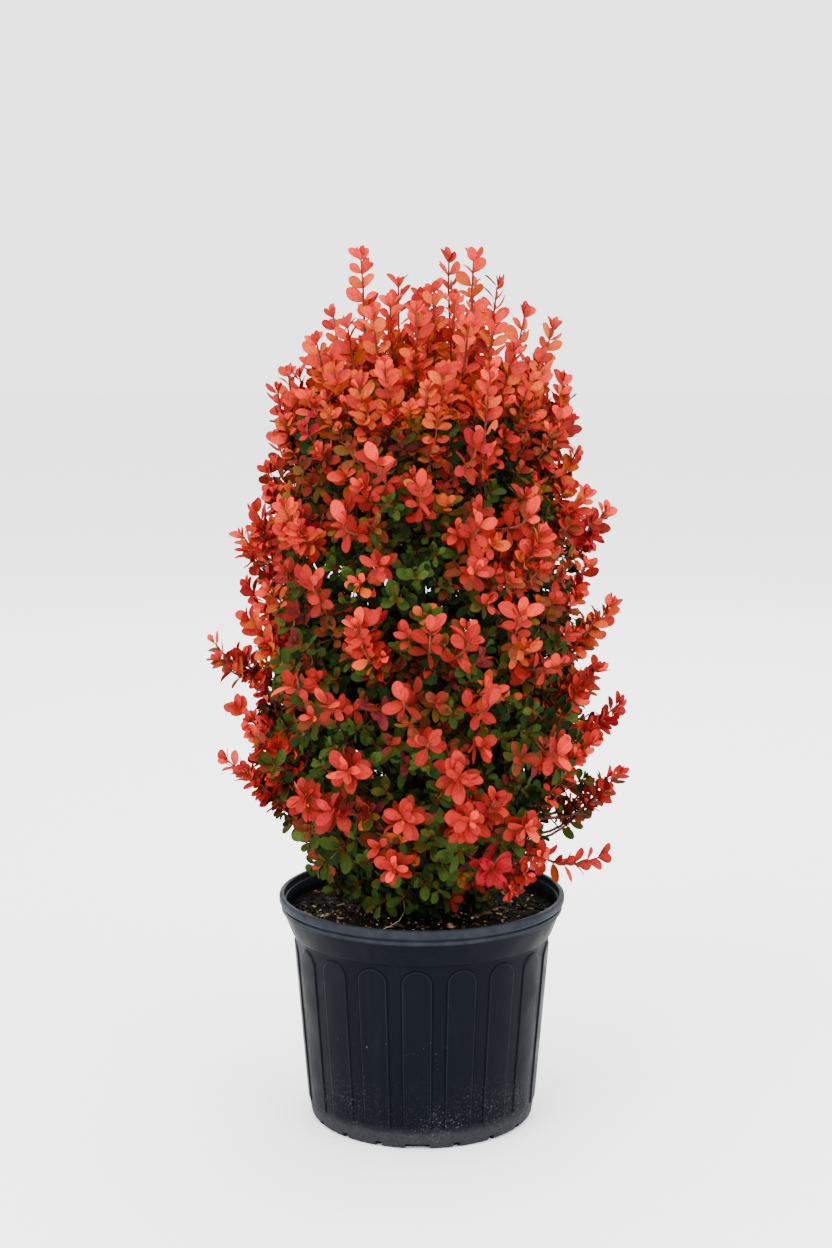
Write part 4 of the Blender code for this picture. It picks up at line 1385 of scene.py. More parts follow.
def outer_shoots(settings, chance, sprays):
    """Shoots whose tips make the crown's surface, except where a front spray stands."""
    shoots = []
    for bearing, height, radius in crown_spots(settings.outer_shoots):
        share = crown_share(height)
        tilt = shoot_tilt(height) + math.radians(chance.uniform(-TILT_SPREAD, TILT_SPREAD))
        way = tilted(bearing + math.radians(chance.uniform(-BEARING_SPREAD, BEARING_SPREAD)), tilt)
        least, usual, most = TIP_REACH
        tucked = 1 - FOOT_TUCK * smooth_step(1 - share / FOOT_SHARE)
        reach = radius * tucked * chance.triangular(least, most, usual) - notch_depth(bearing, height)
        end = polar(reach, bearing, settled(height)) - way * TIP_INSET
        by_height = OUTER_LEAF_AT_FOOT - (OUTER_LEAF_AT_FOOT - OUTER_LEAF_AT_TOP) * share
        length = settings.leaf_length * chance.uniform(*OUTER_LEAF) * by_height
        if any((end - spray.end).length < SPRAY_ROOM for spray in sprays):
            continue
        if in_hollow(end, share):
            end = Vector((end.x * HOLLOW_REACH, end.y * HOLLOW_REACH, end.z))
            shoots.append(Shoot(end, way, "hollow", length * HOLLOW_LEAF, "leafy"))
        else:
            shoots.append(Shoot(end, way, "outer", length, "leafy"))
    return shoots


def inner_shoots(settings, chance):
    """Shoots that end under the surface, older and greener."""
    shoots = []
    for layer, depth, count, length in INNER_LAYERS:
        for bearing, height, radius in crown_spots(round(settings.outer_shoots * count)):
            bearing += depth
            low = settled(height) - (1 - depth) * INNER_SINK * crown_share(height)
            tilt = shoot_tilt(height) + math.radians(chance.uniform(-INNER_TILT_SPREAD, INNER_TILT_SPREAD))
            aside = math.radians(chance.uniform(-INNER_BEARING_SPREAD, INNER_BEARING_SPREAD))
            way = tilted(bearing + aside, tilt)
            end = polar(radius * depth * chance.uniform(*INNER_REACH), bearing, low)
            leaf_length = settings.leaf_length * length * chance.uniform(*INNER_LEAF)
            shoots.append(Shoot(end, way, layer, leaf_length, "buried"))
    return shoots


def bunches(shoots):
    """Splits the shoots of a mass into bunches of neighbours, each for one limb."""
    ends = np.array([tuple(shoot.end) for shoot in shoots])
    count = max(1, round(len(shoots) / SHOOTS_PER_LIMB))
    centres = ends[np.linspace(0, len(ends) - 1, count).astype(int)]
    for _ in range(BUNCHING_ROUNDS):
        nearest = np.argmin(((ends[:, None, :] - centres[None, :, :]) ** 2).sum(axis=2), axis=1)
        centres = np.array([
            ends[nearest == i].mean(axis=0) if (nearest == i).any() else centres[i] for i in range(count)
        ])
    groups = [[shoots[j] for j in np.flatnonzero(nearest == i)] for i in range(count)]
    return [(Vector(centre), group) for centre, group in zip(centres, groups) if group]


# Tints of a shoot's tip, of the nodes under it, and of the older ones further down
# The light coral of the glow and bright palettes stands for sunlit leaves and is painted light near the top;
# the deep green of the dark palette is the inner leaves' dark green made darker still, and maroon a darker
# red for shaded leaves, both painted shade inside the crown
SHOOT_PALETTES = {
    "coral": (
        ("coral", "coral", "coral_light"), ("coral", "coral_deep", "russet"), ("russet", "olive", "green"),
    ),
    "bloom": (("coral", "coral_light"), ("coral", "coral", "coral_deep"), ("coral_deep", "russet", "green")),
    "glow": (
        ("coral_light", "coral"), ("coral_light", "coral", "orange"), ("coral_light", "orange", "coral"),
    ),
    "bright": (
        ("coral_light", "coral_light", "orange"),
        ("coral_light", "orange"),
        ("orange", "coral_light", "coral"),
    ),
    "red": (("red", "coral"), ("coral_deep", "red"), ("maroon", "russet", "olive")),
    "russet": (("russet", "coral_deep"), ("russet", "amber"), ("olive", "green")),
    "amber": (("orange", "amber"), ("amber", "olive"), ("olive", "green")),
    "maroon": (("maroon", "coral_deep"), ("maroon", "olive"), ("green_deep", "green")),
    "green": (("green", "olive", "green"), ("green", "green", "green_deep"), ("green_deep", "green")),
    "dark": (("green_deep", "green"), ("green_deep",), ("green_deep",)),
}

# Chances of each palette for a layer, at the crown's foot, lower third, middle, shoulder and top
PALETTE_LEVELS = (0.0, 0.22, 0.50, 0.76, 0.88)
# The bright palette that grows towards the top is painted light, and the dark palette of the lower and deeper
# layers is painted shade
LAYER_CHANCES = {
    "spray": (("bloom", 0.30, 0.92, 0.90, 0.88, 0.88), ("red", 0.70, 0.08, 0.10, 0.12, 0.12)),
    "long": (
        ("coral", 0.20, 0.30, 0.30, 0.30, 0.10),
        ("glow", 0.10, 0.60, 0.60, 0.60, 0.80),
        ("red", 0.70, 0.10, 0.10, 0.10, 0.10),
    ),
    "spike": (("glow", 1.0, 1.0, 1.0, 1.0, 1.0),),
    "crest": (("glow", 0.4, 0.4, 0.4, 0.4, 0.4), ("bright", 0.6, 0.6, 0.6, 0.6, 0.6)),
    "outer": (
        ("coral", 0.03, 0.15, 0.54, 0.38, 0.10),
        ("bright", 0.00, 0.02, 0.08, 0.32, 0.80),
        ("red", 0.03, 0.09, 0.06, 0.05, 0.04),
        ("russet", 0.03, 0.08, 0.14, 0.16, 0.06),
        ("amber", 0.02, 0.03, 0.04, 0.05, 0.00),
        ("maroon", 0.05, 0.07, 0.04, 0.01, 0.00),
        ("green", 0.84, 0.56, 0.10, 0.03, 0.00),
    ),
    "hollow": (
        ("coral", 0.00, 0.02, 0.10, 0.20, 0.40),
        ("russet", 0.02, 0.06, 0.20, 0.26, 0.40),
        ("amber", 0.02, 0.03, 0.12, 0.16, 0.20),
        ("maroon", 0.04, 0.07, 0.07, 0.04, 0.00),
        ("green", 0.62, 0.50, 0.21, 0.12, 0.00),
        ("dark", 0.30, 0.32, 0.30, 0.22, 0.00),
    ),
    "inner": (
        ("coral", 0.00, 0.01, 0.04, 0.12, 0.06),
        ("bright", 0.00, 0.00, 0.00, 0.14, 0.80),
        ("russet", 0.02, 0.05, 0.18, 0.24, 0.04),
        ("amber", 0.02, 0.03, 0.08, 0.18, 0.10),
        ("maroon", 0.03, 0.06, 0.06, 0.02, 0.00),
        ("green", 0.66, 0.48, 0.22, 0.08, 0.00),
        ("dark", 0.27, 0.37, 0.42, 0.24, 0.00),
    ),
    "deep": (
        ("bright", 0.00, 0.00, 0.00, 0.04, 0.50),
        ("russet", 0.00, 0.00, 0.02, 0.10, 0.10),
        ("amber", 0.00, 0.00, 0.03, 0.12, 0.30),
        ("green", 0.15, 0.15, 0.14, 0.18, 0.10),
        ("dark", 0.85, 0.85, 0.81, 0.60, 0.00),
    ),
    "core": (("amber", 0.0, 0.0, 0.0, 0.1, 0.5), ("dark", 1.0, 1.0, 1.0, 0.9, 0.5)),
}
# Nodes of a shoot, its tip too, that keep its brighter tints at the same levels
BRIGHT_NODES = (2.0, 2.4, 3.2, 4.2, 8.0)
BRIGHT_SPREAD = 0.6
TIP_NODES = 2

# What the shoots of each layer are like: tone of their leaves, which is painted shade that darkens the layers
# under the surface and painted light that lightens the standing shoots, how many more of their nodes stay
# bright, how far their leaves lie down on the crown, stiffness, and whether they are stout and whether they
# show outside
Layer = collections.namedtuple("Layer", "tone more_bright flattening stiffness stout outside")
LAYERS = {
    "spray": Layer(0.02, 2.2, 0.35, SUPPLE, True, True),
    "long": Layer(0.35, 3.0, 0.00, 0.50, True, True),
    "spike": Layer(0.45, 8.0, 0.00, 0.52, True, True),
    "crest": Layer(0.30, 5.0, 0.00, 0.44, True, True),
    "outer": Layer(0.10, 0.0, 0.25, SUPPLE, False, True),
    "hollow": Layer(-0.10, -0.4, 0.25, SUPPLE, False, False),
    "inner": Layer(-0.20, -0.6, 0.20, SUPPLE, False, False),
    "deep": Layer(-0.45, -1.0, 0.00, SUPPLE, False, False),
    "core": Layer(-0.60, -1.0, 0.00, SUPPLE, False, False),
}
# Painted light that lightens the leaves near the crown's top, painted shade that darkens each lower node of a
# shoot, and the spread of each leaf's own tone
TOP_PAINTED_LIGHT = 0.28
NODE_PAINTED_SHADE = 0.10
TONE_SPREAD = 0.38
SPINE_CHANCE = 0.4
SPINE_TURN = 0.5
SPINE_SLANT = 0.15

# A leaf on its shoot: spread of its lean and its turn, chance that it has its whorl's tint, how far along
# the shoot it may sit from its node, and its length as a share of the node's leaves
LEAN_SPREAD = 9
AROUND_SPREAD = 0.4
SAME_TINT_CHANCE = 0.75
NODE_SLACK = 0.0012
LEAF_LENGTHS = (0.74, 1.14)

# Where a leaf faces: along its twig, outwards, to the front and up
FACE_ALONG = 0.38
FACE_OUT = 0.80
FACE_UP = 0.32
FRONT_TURN = 0.95
LEAF_WAIST = 0.62
LEAST_ACROSS = 0.05

# Roll of a leaf about its midrib: usual spread, and the most for the share that is turned away
ROLL_SPREAD = 0.34
MOST_ROLL = 1.25
TURNED_SHARE = 0.36


def palette_for(shoot, chance):
    """Deals a palette to a shoot by its layer and its height in the crown."""
    names = [row[0] for row in LAYER_CHANCES[shoot.layer]]
    weights = [float(np.interp(shoot.share, PALETTE_LEVELS, row[1:])) for row in LAYER_CHANCES[shoot.layer]]
    return SHOOT_PALETTES[chance.choices(names, weights)[0]]


def outward_from(point):
    """The level direction from the middle of the crown to a point."""
    return Vector((point.x, point.y, 0.0)).normalized() if point.xy.length > 1e-4 else Vector((0, -1, 0))


Leaf = collections.namedtuple("Leaf", "root across along face length tone")


class Growth:
    """Everything that grows: limbs, twigs, leaves by tint, and spines."""

    def __init__(self, settings):
        self.leaf_width = settings.leaf_width
        self.limbs = []
        self.twigs = []
        self.leaves = {tint: [] for tint in TINTS}
        self.spines = []
        self.chance = random.Random("barberry growth")
        standing_chance = random.Random("standing shoots")
        sprays = front_sprays()
        shoots = sprays + long_shoots(settings, standing_chance) + crest_shoots(settings, standing_chance)
        shoots += outer_shoots(settings, self.chance, sprays)
        shoots += inner_shoots(settings, self.chance)
        masses = all_masses()
        for mass in masses:
            mass.shoots = []
        for shoot in shoots:
            if clear_of_pot(shoot.end, GATE_GAP):
                min(masses, key=lambda mass: (shoot.end - mass.heart).length_squared).shoots.append(shoot)
        for mass in masses:
            self.grow_mass(mass)

    def grow_mass(self, mass):
        stem = mass.stem_path(LIMB_STEPS)
        self.limbs.append((stem, tapered(BOUGH_TIP_RADIUS, LIMB_RADII[0], LIMB_STEPS)))
        for centre, group in bunches(mass.shoots):
            root, root_way = stem[self.chance.randrange(FIRST_LIMB_STEP, LIMB_STEPS + 1)]
            knot = under_dome(mass.heart.lerp(centre, LIMB_REACH))
            out = (centre - mass.heart).normalized()
            limb = bend(root, (root_way + out).normalized(), knot, out, LIMB_STEPS)
            self.limbs.append((limb, tapered(*LIMB_RADII, LIMB_STEPS)))
            for shoot in group:
                if shoot.layer == "spike":
                    self.grow_shoot(shoot, stem, SPIKE_START, SPIKE_RISE)
                elif shoot.layer == "long":
                    self.grow_shoot(shoot, limb, TWIG_START, LONG_RISE)
                else:
                    self.grow_shoot(shoot, limb, TWIG_START, TWIG_RISE)

    def grow_shoot(self, shoot, limb, starts, rise):
        """One twig from its limb, with whorls of leaves from its tip down."""
        chance = self.chance
        start = self.along(limb, chance.uniform(*starts))
        start_way = ((shoot.end - start).normalized() + Vector((0, 0, rise))).normalized()
        layer = LAYERS[shoot.layer]
        path = bend(start, start_way, shoot.end, shoot.way, TWIG_STEPS, layer.stiffness)
        radii = STOUT_RADII if layer.stout else TWIG_RADII
        self.twigs.append((path, tapered(*radii, TWIG_STEPS), layer.outside))
        length = path_length(path)
        tip_tints, upper_tints, foot_tints = palette_for(shoot, chance)
        bright = float(np.interp(shoot.share, PALETTE_LEVELS, BRIGHT_NODES)) + layer.more_bright
        bright += chance.uniform(-BRIGHT_SPREAD, BRIGHT_SPREAD)
        around = chance.uniform(0, 2 * math.pi)
        stretch = chance.uniform(*NODE_STRETCH)
        for number, (back, size, count, lean) in enumerate(SHOOT_NODES[shoot.kind]):
            share = 1 - back * shoot.leaf_length * stretch / length
            if share * length < NODE_ROOM:
                break
            node = self.along(path, share)
            above = self.along(path, min(1.0, share + NODE_SPREAD))
            way = (above - self.along(path, share - NODE_SPREAD)).normalized()
            tints = tip_tints if number < TIP_NODES else upper_tints if number < bright else foot_tints
            self.grow_node(shoot, node, way, around, count, size * shoot.leaf_length, lean, tints, number)
            around += GOLDEN_ANGLE
            if layer.outside and number >= TIP_NODES and chance.random() < SPINE_CHANCE:
                self.add_spine(node, way, around)

    def along(self, path, share):
        """The point at a share of the path's steps."""
        place = min(max(share, 0.0), 1.0) * (len(path) - 1)
        index = min(int(place), len(path) - 2)
        return path[index][0].lerp(path[index + 1][0], place - index)

    def grow_node(self, shoot, node, way, around, count, length, lean, tints, number):
        """A whorl of leaves at one node of a shoot."""
        chance = self.chance
        layer = LAYERS[shoot.layer]
        outward = outward_from(node)
        side = way.orthogonal().normalized()
        tint = chance.choice(tints)
        shoulder = PALETTE_LEVELS[-2]
        # Painted shade darkens the lower nodes, and painted light lightens the leaves near the crown's top
        tone = layer.tone - NODE_PAINTED_SHADE * max(0, number - 1)
        tone += TOP_PAINTED_LIGHT * smooth_step((shoot.share - shoulder) / (1 - shoulder))
        for leaf in range(count):
            spread = math.radians(lean + chance.uniform(-LEAN_SPREAD, LEAN_SPREAD))
            turned = around + leaf * 2 * math.pi / count + chance.uniform(-AROUND_SPREAD, AROUND_SPREAD)
            sideways = Matrix.Rotation(turned, 3, way) @ side
            along = way * math.cos(spread) + sideways * math.sin(spread)
            along = (along - outward * along.dot(outward) * layer.flattening).normalized()
            picked = tint if chance.random() < SAME_TINT_CHANCE else chance.choice(tints)
            root = node + way * chance.uniform(-NODE_SLACK, NODE_SLACK)
            self.add_leaf(root, along, way, outward, length * chance.uniform(*LEAF_LENGTHS), picked, tone)

    def add_spine(self, node, way, around):
        """A thin spine under a node, nearly square to its twig."""
        turn = Matrix.Rotation(around + SPINE_TURN, 3, way)
        along = (turn @ way.orthogonal().normalized() + way * SPINE_SLANT).normalized()
        self.spines.append((node, along, self.chance.uniform(*SPINE_LENGTH)))

    def add_leaf(self, root, along, way, outward, length, tint, tone):
        """Adds a leaf that faces its twig's way, outwards and up, if its blade keeps to the crown's space."""
        chance = self.chance
        frontwards = FRONT_TURN * (1 - abs(outward.y))
        face = way * FACE_ALONG + outward * FACE_OUT + Vector((0, -frontwards, FACE_UP))
        across = along.cross(face)
        if across.length < LEAST_ACROSS:
            across = along.orthogonal()
        turned_away = chance.random() < TURNED_SHARE
        roll = chance.uniform(-MOST_ROLL, MOST_ROLL) if turned_away else chance.gauss(0, ROLL_SPREAD)
        across = (Matrix.Rotation(roll, 3, along) @ across.normalized()).normalized()
        face = across.cross(along).normalized()
        tip = root + along * length
        half = across * length * self.leaf_width / 2
        waist = root + along * length * LEAF_WAIST
        if all(leaf_may_reach(point) for point in (root, tip, waist + half, waist - half)):
            tone = min(1.0, max(-1.0, tone + chance.gauss(0, TONE_SPREAD)))
            self.leaves[tint].append(Leaf(root, across, along, face, length, tone))


@functools.cache
def grown():
    """The growth, worked out once for all the operators that draw on it."""
    return Growth(bpy.context.scene.barberry_growth)


# Stem, boughs and twigs


def build_stem(settings):
    """A short stem with a lobed flare on a flat cut, and one stub for each bough, under ridged bark."""
    foot = MIX_LEVEL + CLEARANCE
    flare_top = STEM_RINGS[2][0]
    heights, radii = zip(*STEM_RINGS)
    levels = np.linspace(0.0, heights[-1], STEM_LEVELS)
    bm = bmesh.new()
    path = [(Vector((0, 0, foot + level)), Vector((0, 0, 1))) for level in levels]
    swept_tube(bm, path, np.interp(levels, heights, radii).tolist(), STEM_SIDES)
    for vert in bm.verts:
        lobes = FLARE_DEPTH * max(0.0, 1 - (vert.co.z - foot) / flare_top)
        swell = 1 + lobes * math.cos(FLARE_LOBES * math.atan2(vert.co.y, vert.co.x))
        vert.co.x *= swell
        vert.co.y *= swell
    for mass in all_masses():
        sunk = mass.stub_root - mass.stub_way * STUB_DEPTH
        stub = [(sunk.lerp(mass.stub_end(), i / STUB_STEPS), mass.stub_way) for i in range(STUB_STEPS + 1)]
        radii = tapered(BOUGH_BASE_RADIUS * STUB_SWELL, BOUGH_BASE_RADIUS, STUB_STEPS)
        swept_tube(bm, stub, radii, LIMB_SIDES)
    one_skin = modified(mesh_from(bm, "woody_stem"), "REMESH", mode="VOXEL", voxel_size=STEM_VOXEL)
    bm = bmesh.new()
    bm.from_mesh(one_skin)
    over_cut = [vert for vert in bm.verts if vert.co.z > foot + SMOOTH_FROM]
    bmesh.ops.smooth_vert(
        bm, verts=over_cut, factor=0.5, use_axis_x=True, use_axis_y=True, use_axis_z=True,
    )
    skin = [vert for vert in bm.verts if vert.co.z > foot + RIDGED_FROM]
    ridge_skin(bm, skin, settings.bark_relief)
    mesh = mesh_from(bm, "woody_stem", BARK_SHARP_DEGREES)
    finish = bark_finish("stem_bark", settings.bark_dark, settings.bark_light, 0.0008)
    keep_piece("woody_stem", mesh, finish, "bark", "stem")


def ridge_skin(bm, verts, depth):
    """Pushes the skin in and out so that it carries ridges of bark along its length."""
    bm.normal_update()
    moves = []
    for vert in verts:
        place = Vector(coordinate * scale for coordinate, scale in zip(vert.co, RIDGE_SCALE))
        moves.append(vert.normal * noise.fractal(place, *RIDGE_NOISE) * depth)
    for vert, move in zip(verts, moves):
        vert.co += move


def build_boughs(settings):
    """One tapering limb for each mass, from its stub to its gate."""
    finish = bark_finish("bough_bark", settings.bark_dark, settings.bark_light, 0.0006)
    for mass in all_masses():
        length = path_length(mass.bough_path(LEAST_BOUGH_STEPS))
        steps = max(LEAST_BOUGH_STEPS, round(length / BOUGH_STEP))
        bm = bmesh.new()
        radii = tapered(BOUGH_BASE_RADIUS, BOUGH_TIP_RADIUS, steps)
        swept_tube(bm, mass.bough_path(steps), radii, LIMB_SIDES)
        ridge_skin(bm, bm.verts[:], settings.bark_relief * BOUGH_RELIEF)
        mesh = mesh_from(bm, f"bark_bough_{mass.name}", BARK_SHARP_DEGREES)
        keep_piece(f"bark_bough_{mass.name}", mesh, finish, "bark", f"bough_{mass.name}")


def build_twigs(settings):
    """The limbs and hidden twigs, the red twigs of the outer shoots, and their spines."""
    growth = grown()
    wood, young, spines = Bits(), Bits(), Bits()
    for path, radii in growth.limbs:
        wood.add_placed(tube_shape(path, radii, LIMB_TWIG_SIDES))
    for path, radii, outside in growth.twigs:
        bits, sides = (young, YOUNG_TWIG_SIDES) if outside else (wood, HIDDEN_TWIG_SIDES)
        bits.add_placed(tube_shape(path, radii, sides))
    frames, places = [], []
    for node, along, length in growth.spines:
        side = along.orthogonal().normalized()
        across = along.cross(side)
        frames.append(np.column_stack((side * SPINE_RADIUS, along * length, across * SPINE_RADIUS)))
        places.append(tuple(node))
    spines.add(cone_shape(SPINE_SIDES), frames, places, [0.0] * len(places))

    foliage = nodes_named("foliage_")
    old_bark = bark_finish("limb_bark", settings.bark_dark, settings.bark_light, 0.0004)
    young_bark = bark_finish("young_bark", settings.twig_dark, settings.twig_light, 0.0002)
    spine_bark = bark_finish("spine_bark", settings.twig_light, settings.spine_colour, 0.0001)
    keep_piece("woody_twigs", wood.mesh("woody_twigs"), old_bark, "bark", *foliage)
    keep_piece("red_twigs", young.mesh("red_twigs"), young_bark, "bark", *foliage)
    keep_piece("spines", spines.mesh("spines"), spine_bark, "bark", *foliage)


# Leaves


def build_leaves(growth_settings, tint_settings):
    """One piece for each tint: large blades of four shapes, and small ones, with fewer faces, of two."""
    growth = grown()
    foliage = nodes_named("foliage_")
    large = [leaf_shape(LEAF_OUTLINE, *curl) for curl in LEAF_CURLS]
    small = [leaf_shape(SMALL_LEAF_OUTLINE, *curl) for curl in SMALL_LEAF_CURLS]
    chance = random.Random("leaf shapes")
    for tint, grown_leaves in growth.leaves.items():
        dealt = [[] for _ in large + small]
        for leaf in grown_leaves:
            if tint in SMALL_TINTS or leaf.length < SMALL_LEAF:
                dealt[len(large) + chance.randrange(len(small))].append(leaf)
            else:
                dealt[chance.randrange(len(large))].append(leaf)
        leaves = Bits()
        for shape, group in zip(large + small, dealt):
            frames = []
            for leaf in group:
                width = leaf.length * growth_settings.leaf_width * chance.uniform(*LEAF_WIDTHS)
                axes = (leaf.across * width, leaf.along * leaf.length, leaf.face * leaf.length)
                frames.append(np.column_stack(axes))
            leaves.add(shape, frames, [tuple(leaf.root) for leaf in group], [leaf.tone for leaf in group])
        colour = getattr(tint_settings, tint)
        finish = leaf_finish(f"leaf_{tint}", colour, tint_settings.stalk_end, growth_settings.leaf_gloss)
        keep_piece(f"leaves_{tint}", leaves.mesh(f"leaves_{tint}"), finish, "foliage", *foliage)


# Stage


def area_light(name, place, size, power):
    """A softbox that faces the crown."""
    light = bpy.data.lights.new(name, "AREA")
    light.shape = "RECTANGLE"
    light.size, light.size_y = size
    light.energy = power
    lamp = bpy.data.objects.new(name, light)
    lamp.location = place
    lamp.rotation_euler = (Vector(LIGHT_TARGET) - Vector(place)).to_track_quat("-Z", "Y").to_euler()
    bpy.context.scene.collection.objects.link(lamp)


def build_stage(settings):
    """The floor, the even light of the room, the softboxes and the camera."""
    bm = bmesh.new()
    bmesh.ops.create_circle(bm, cap_ends=True, radius=settings.floor_radius, segments=128)
    floor = bpy.data.objects.new("studio_floor", mesh_from(bm, "studio_floor"))
    floor.data.materials.append(stage_finish(settings))
    bpy.context.scene.collection.objects.link(floor)

    world = bpy.data.worlds.new("studio_light")
    world.use_nodes = True
    background = world.node_tree.nodes["Background"]
    background.inputs["Color"].default_value = (1.0, 1.0, 1.0, 1.0)
    background.inputs["Strength"].default_value = settings.world_strength
    bpy.context.scene.world = world

    for name, place, size, share in SOFTBOXES:
        area_light(name, place, size, settings.key_power * share)

    lens = bpy.data.cameras.new("studio_camera")
    lens.lens = settings.lens
    lens.sensor_width = 36.0
    lens.sensor_fit = "AUTO"
    camera = bpy.data.objects.new("studio_camera", lens)
    camera.location = (settings.camera_right, -settings.camera_distance, settings.camera_height)
    camera.rotation_euler = (math.pi / 2 - settings.camera_pitch, 0.0, 0.0)
    bpy.context.scene.collection.objects.link(camera)
    bpy.context.scene.camera = camera


# Settings


def colour_property(name, description, default):
    return FloatVectorProperty(
        name=name, description=description, subtype="COLOR", size=3, min=0.0, max=1.0, default=default,
    )


def length_property(name, description, default):
    return FloatProperty(name=name, description=description, default=default, unit="LENGTH")


class BarberryPotSettings(bpy.types.PropertyGroup):
    """Plastic pot"""
    panel_rise: length_property("Panel rise", "How far the arched panels stand out of the pot's body", 0.0013)
    plastic: colour_property("Plastic", "Colour of the clean plastic", (0.0022, 0.0028, 0.0046))
    # The lip colour is also the painted highlight along the panels' edges
    lip_and_highlight_colour: colour_property("Lip", "Colour of the worn lip and of the streaks", (0.0155, 0.0180, 0.0230))
    dust: colour_property("Dust", "Colour of the dust near the foot", (0.090, 0.090, 0.096))


class BarberryMixSettings(bpy.types.PropertyGroup):
    """Growing mix"""
    chips: IntProperty(name="Bark chips", description="Splinters of bark on the mix", default=1300)
    perlite: IntProperty(name="Perlite", description="White grains in the mix", default=66)
    crumbs: IntProperty(name="Crumbs", description="Dark lumps of the mix", default=900)
    mix_colour: colour_property("Mix", "Colour of the damp mix", (0.0020, 0.0014, 0.0009))
    chip_dark: colour_property("Dark chips", "Colour of the darkest chips", (0.0036, 0.0023, 0.0013))
    chip_light: colour_property("Light chips", "Colour of the lightest chips", (0.300, 0.185, 0.090))
    perlite_colour: colour_property("Perlite", "Colour of the perlite", (0.46, 0.40, 0.29))


class BarberryBarkSettings(bpy.types.PropertyGroup):
    """Bark and twigs"""
    bark_relief: length_property("Bark relief", "Depth of the ridges on the stem", 0.0009)
    bark_dark: colour_property("Dark bark", "Colour between the ridges of old bark", (0.018, 0.010, 0.006))
    bark_light: colour_property("Light bark", "Colour on the ridges of old bark", (0.085, 0.054, 0.034))
    twig_dark: colour_property("Dark twigs", "Darker colour of the young shoots", (0.060, 0.010, 0.006))
    twig_light: colour_property("Light twigs", "Lighter colour of the young shoots", (0.150, 0.036, 0.018))
    spine_colour: colour_property("Spines", "Colour of the spines", (0.230, 0.110, 0.055))


class BarberryGrowthSettings(bpy.types.PropertyGroup):
    """Shoots and leaves"""
    outer_shoots: IntProperty(
        name="Outer shoots", description="Shoots that end on the crown's surface", default=600,
    )
    leaf_length: length_property("Leaf length", "Length of a full leaf", 0.0190)
    leaf_width: FloatProperty(
        name="Leaf width", description="Width of a leaf as a share of its length", default=0.52,
    )
    leaf_gloss: FloatProperty(name="Leaf roughness", description="Roughness of the leaves", default=0.58)


class BarberryTintSettings(bpy.types.PropertyGroup):
    """Leaf tints"""
    coral: colour_property("Coral", "Most outer leaves", (0.275, 0.0118, 0.0092))
    coral_light: colour_property("Light coral", "Sunlit leaves near the top", (0.460, 0.0230, 0.0125))
    coral_deep: colour_property("Deep coral", "Leaves lower on coral shoots", (0.165, 0.0120, 0.0075))
    red: colour_property("Red", "Young tips", (0.240, 0.0060, 0.0110))
    orange: colour_property("Orange", "Leaves inside the top", (0.410, 0.0520, 0.0100))
    russet: colour_property("Russet", "Leaves on the way from coral to olive", (0.120, 0.0240, 0.0085))
    amber: colour_property("Amber", "Turning leaves", (0.110, 0.0480, 0.0060))
    olive: colour_property("Olive", "Turning leaves further in", (0.036, 0.0320, 0.0030))
    maroon: colour_property("Maroon", "Shaded red leaves", (0.085, 0.0085, 0.0105))
    green: colour_property("Green", "Leaves of the lower crown", (0.0255, 0.0450, 0.0055))
    # Deep green is the inner leaves' dark green made darker still, as painted shade deep in the crown
    green_deep: colour_property("Deep green", "Leaves deep inside", (0.0062, 0.0145, 0.0024))
    stalk_end: colour_property("Stalk end", "Tinge at the stalk end of every leaf", (0.140, 0.0200, 0.0040))


class BarberryStageSettings(bpy.types.PropertyGroup):
    """Studio"""
    floor_radius: length_property("Floor radius", "Radius of the floor", 14.0)
    floor_colour: colour_property("Floor", "Colour of the floor", (0.96, 0.96, 0.96))
    world_strength: FloatProperty(name="Room light", description="Strength of the even light", default=3.0)
    key_power: FloatProperty(
        name="Key power", description="Power of the key softbox", default=165.0, unit="POWER",
    )
    lens: FloatProperty(name="Lens", description="Focal length in millimetres", default=63.2)
    camera_right: length_property("Camera right", "Camera's place to the right of the pot", -0.0057)
    camera_distance: length_property("Camera distance", "Camera's place in front of the pot", 2.087)
    camera_height: length_property("Camera height", "Camera's height over the floor", 0.817)
    camera_pitch: FloatProperty(
        name="Camera pitch", description="How far the camera looks down", default=math.radians(8.95),
        unit="ROTATION",
    )


# Operators


class BARBERRY_OT_pot(bpy.types.Operator):
    """Make the fluted nursery pot"""
    bl_idname = "barberry.pot"
    bl_label = "Nursery Pot"

    def execute(self, context):
        build_pot(context.scene.barberry_pot)
        return {"FINISHED"}


class BARBERRY_OT_growing_mix(bpy.types.Operator):
    """Make the growing mix with its chips, crumbs, perlite and dry stalk"""
    bl_idname = "barberry.growing_mix"
    bl_label = "Growing Mix"

    def execute(self, context):
        settings = context.scene.barberry_mix
        build_mix_surface(settings)
        build_mix_bits(settings)
        build_straw(settings)
        return {"FINISHED"}


class BARBERRY_OT_stem(bpy.types.Operator):
    """Make the short stem with its root flare"""
    bl_idname = "barberry.stem"
    bl_label = "Stem"

    def execute(self, context):
        build_stem(context.scene.barberry_bark)
        return {"FINISHED"}


class BARBERRY_OT_boughs(bpy.types.Operator):
    """Make the boughs from the stem to the foliage"""
    bl_idname = "barberry.boughs"
    bl_label = "Boughs"

    def execute(self, context):
        build_boughs(context.scene.barberry_bark)
        return {"FINISHED"}


class BARBERRY_OT_twigs(bpy.types.Operator):
    """Grow the limbs, shoots and spines of every mass of foliage"""
    bl_idname = "barberry.twigs"
    bl_label = "Twigs and Spines"

    def execute(self, context):
        build_twigs(context.scene.barberry_bark)
        return {"FINISHED"}


class BARBERRY_OT_leaves(bpy.types.Operator):
    """Join the leaves of every shoot, one piece for each tint"""
    bl_idname = "barberry.leaves"
    bl_label = "Leaves"

    def execute(self, context):
        build_leaves(context.scene.barberry_growth, context.scene.barberry_tints)
        return {"FINISHED"}


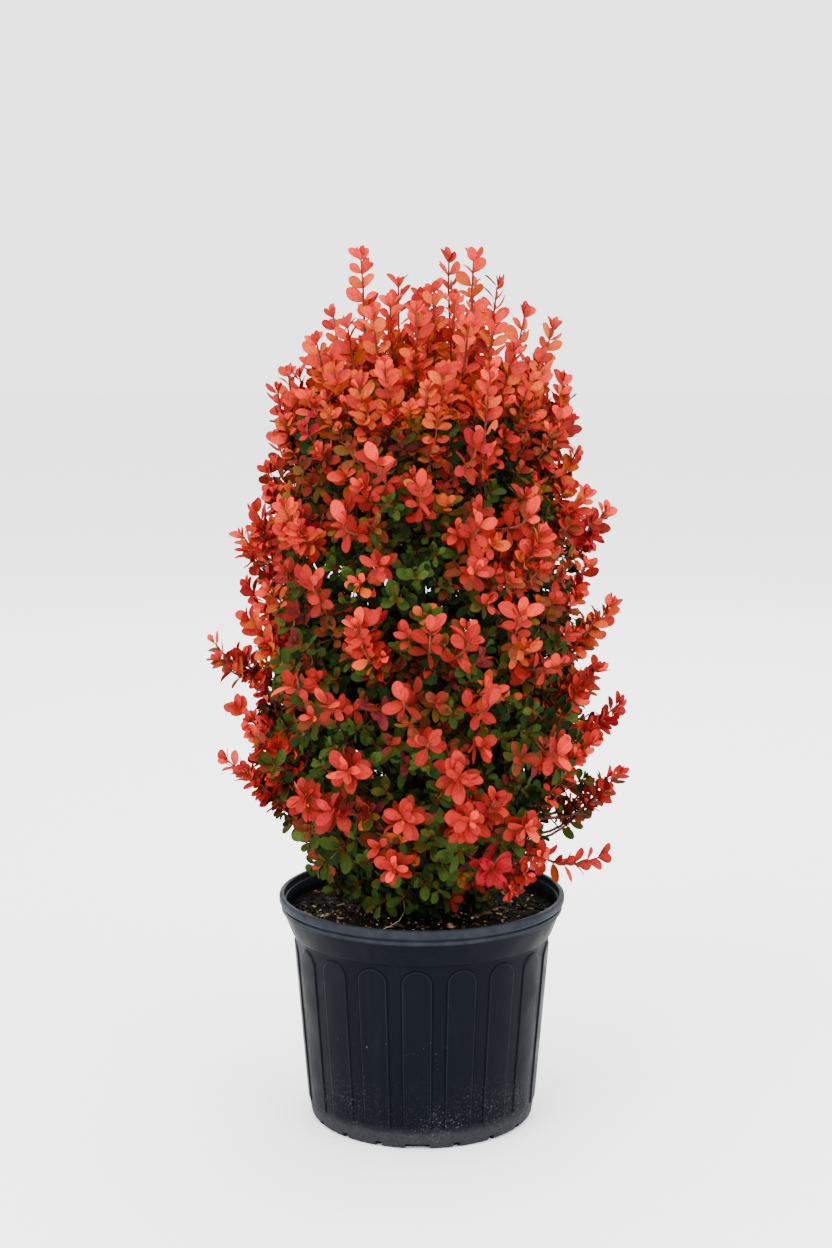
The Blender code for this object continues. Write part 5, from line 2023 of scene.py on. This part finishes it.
class BARBERRY_OT_stage(bpy.types.Operator):
    """Set the pale floor, the soft lights and the camera"""
    bl_idname = "barberry.stage"
    bl_label = "Studio"

    def execute(self, context):
        build_stage(context.scene.barberry_stage)
        return {"FINISHED"}


class BARBERRY_PT_sidebar(bpy.types.Panel):
    """Lists the steps that make the potted barberry"""
    bl_idname = "BARBERRY_PT_sidebar"
    bl_label = "Potted Barberry"
    bl_space_type = "VIEW_3D"
    bl_region_type = "UI"
    bl_category = "Barberry"

    def draw(self, context):
        for operator in OPERATORS:
            self.layout.operator(operator.bl_idname)
        for name in SETTINGS:
            group = getattr(context.scene, name)
            column = self.layout.column()
            for setting in type(group).__annotations__:
                column.prop(group, setting)


SETTINGS = {
    "barberry_pot": BarberryPotSettings,
    "barberry_mix": BarberryMixSettings,
    "barberry_bark": BarberryBarkSettings,
    "barberry_growth": BarberryGrowthSettings,
    "barberry_tints": BarberryTintSettings,
    "barberry_stage": BarberryStageSettings,
}
OPERATORS = (
    BARBERRY_OT_stage,
    BARBERRY_OT_pot,
    BARBERRY_OT_growing_mix,
    BARBERRY_OT_stem,
    BARBERRY_OT_boughs,
    BARBERRY_OT_twigs,
    BARBERRY_OT_leaves,
)


def register():
    for group in SETTINGS.values():
        bpy.utils.register_class(group)
    for name, group in SETTINGS.items():
        setattr(bpy.types.Scene, name, PointerProperty(type=group))
    for operator in OPERATORS:
        bpy.utils.register_class(operator)
    bpy.utils.register_class(BARBERRY_PT_sidebar)


def unregister():
    bpy.utils.unregister_class(BARBERRY_PT_sidebar)
    for operator in reversed(OPERATORS):
        bpy.utils.unregister_class(operator)
    for name in SETTINGS:
        delattr(bpy.types.Scene, name)
    for group in SETTINGS.values():
        bpy.utils.unregister_class(group)


def main():
    register()
    bpy.ops.barberry.stage()
    bpy.ops.barberry.pot()
    bpy.ops.barberry.growing_mix()
    bpy.ops.barberry.stem()
    bpy.ops.barberry.boughs()
    bpy.ops.barberry.twigs()
    bpy.ops.barberry.leaves()


if __name__ == "__main__":
    main()
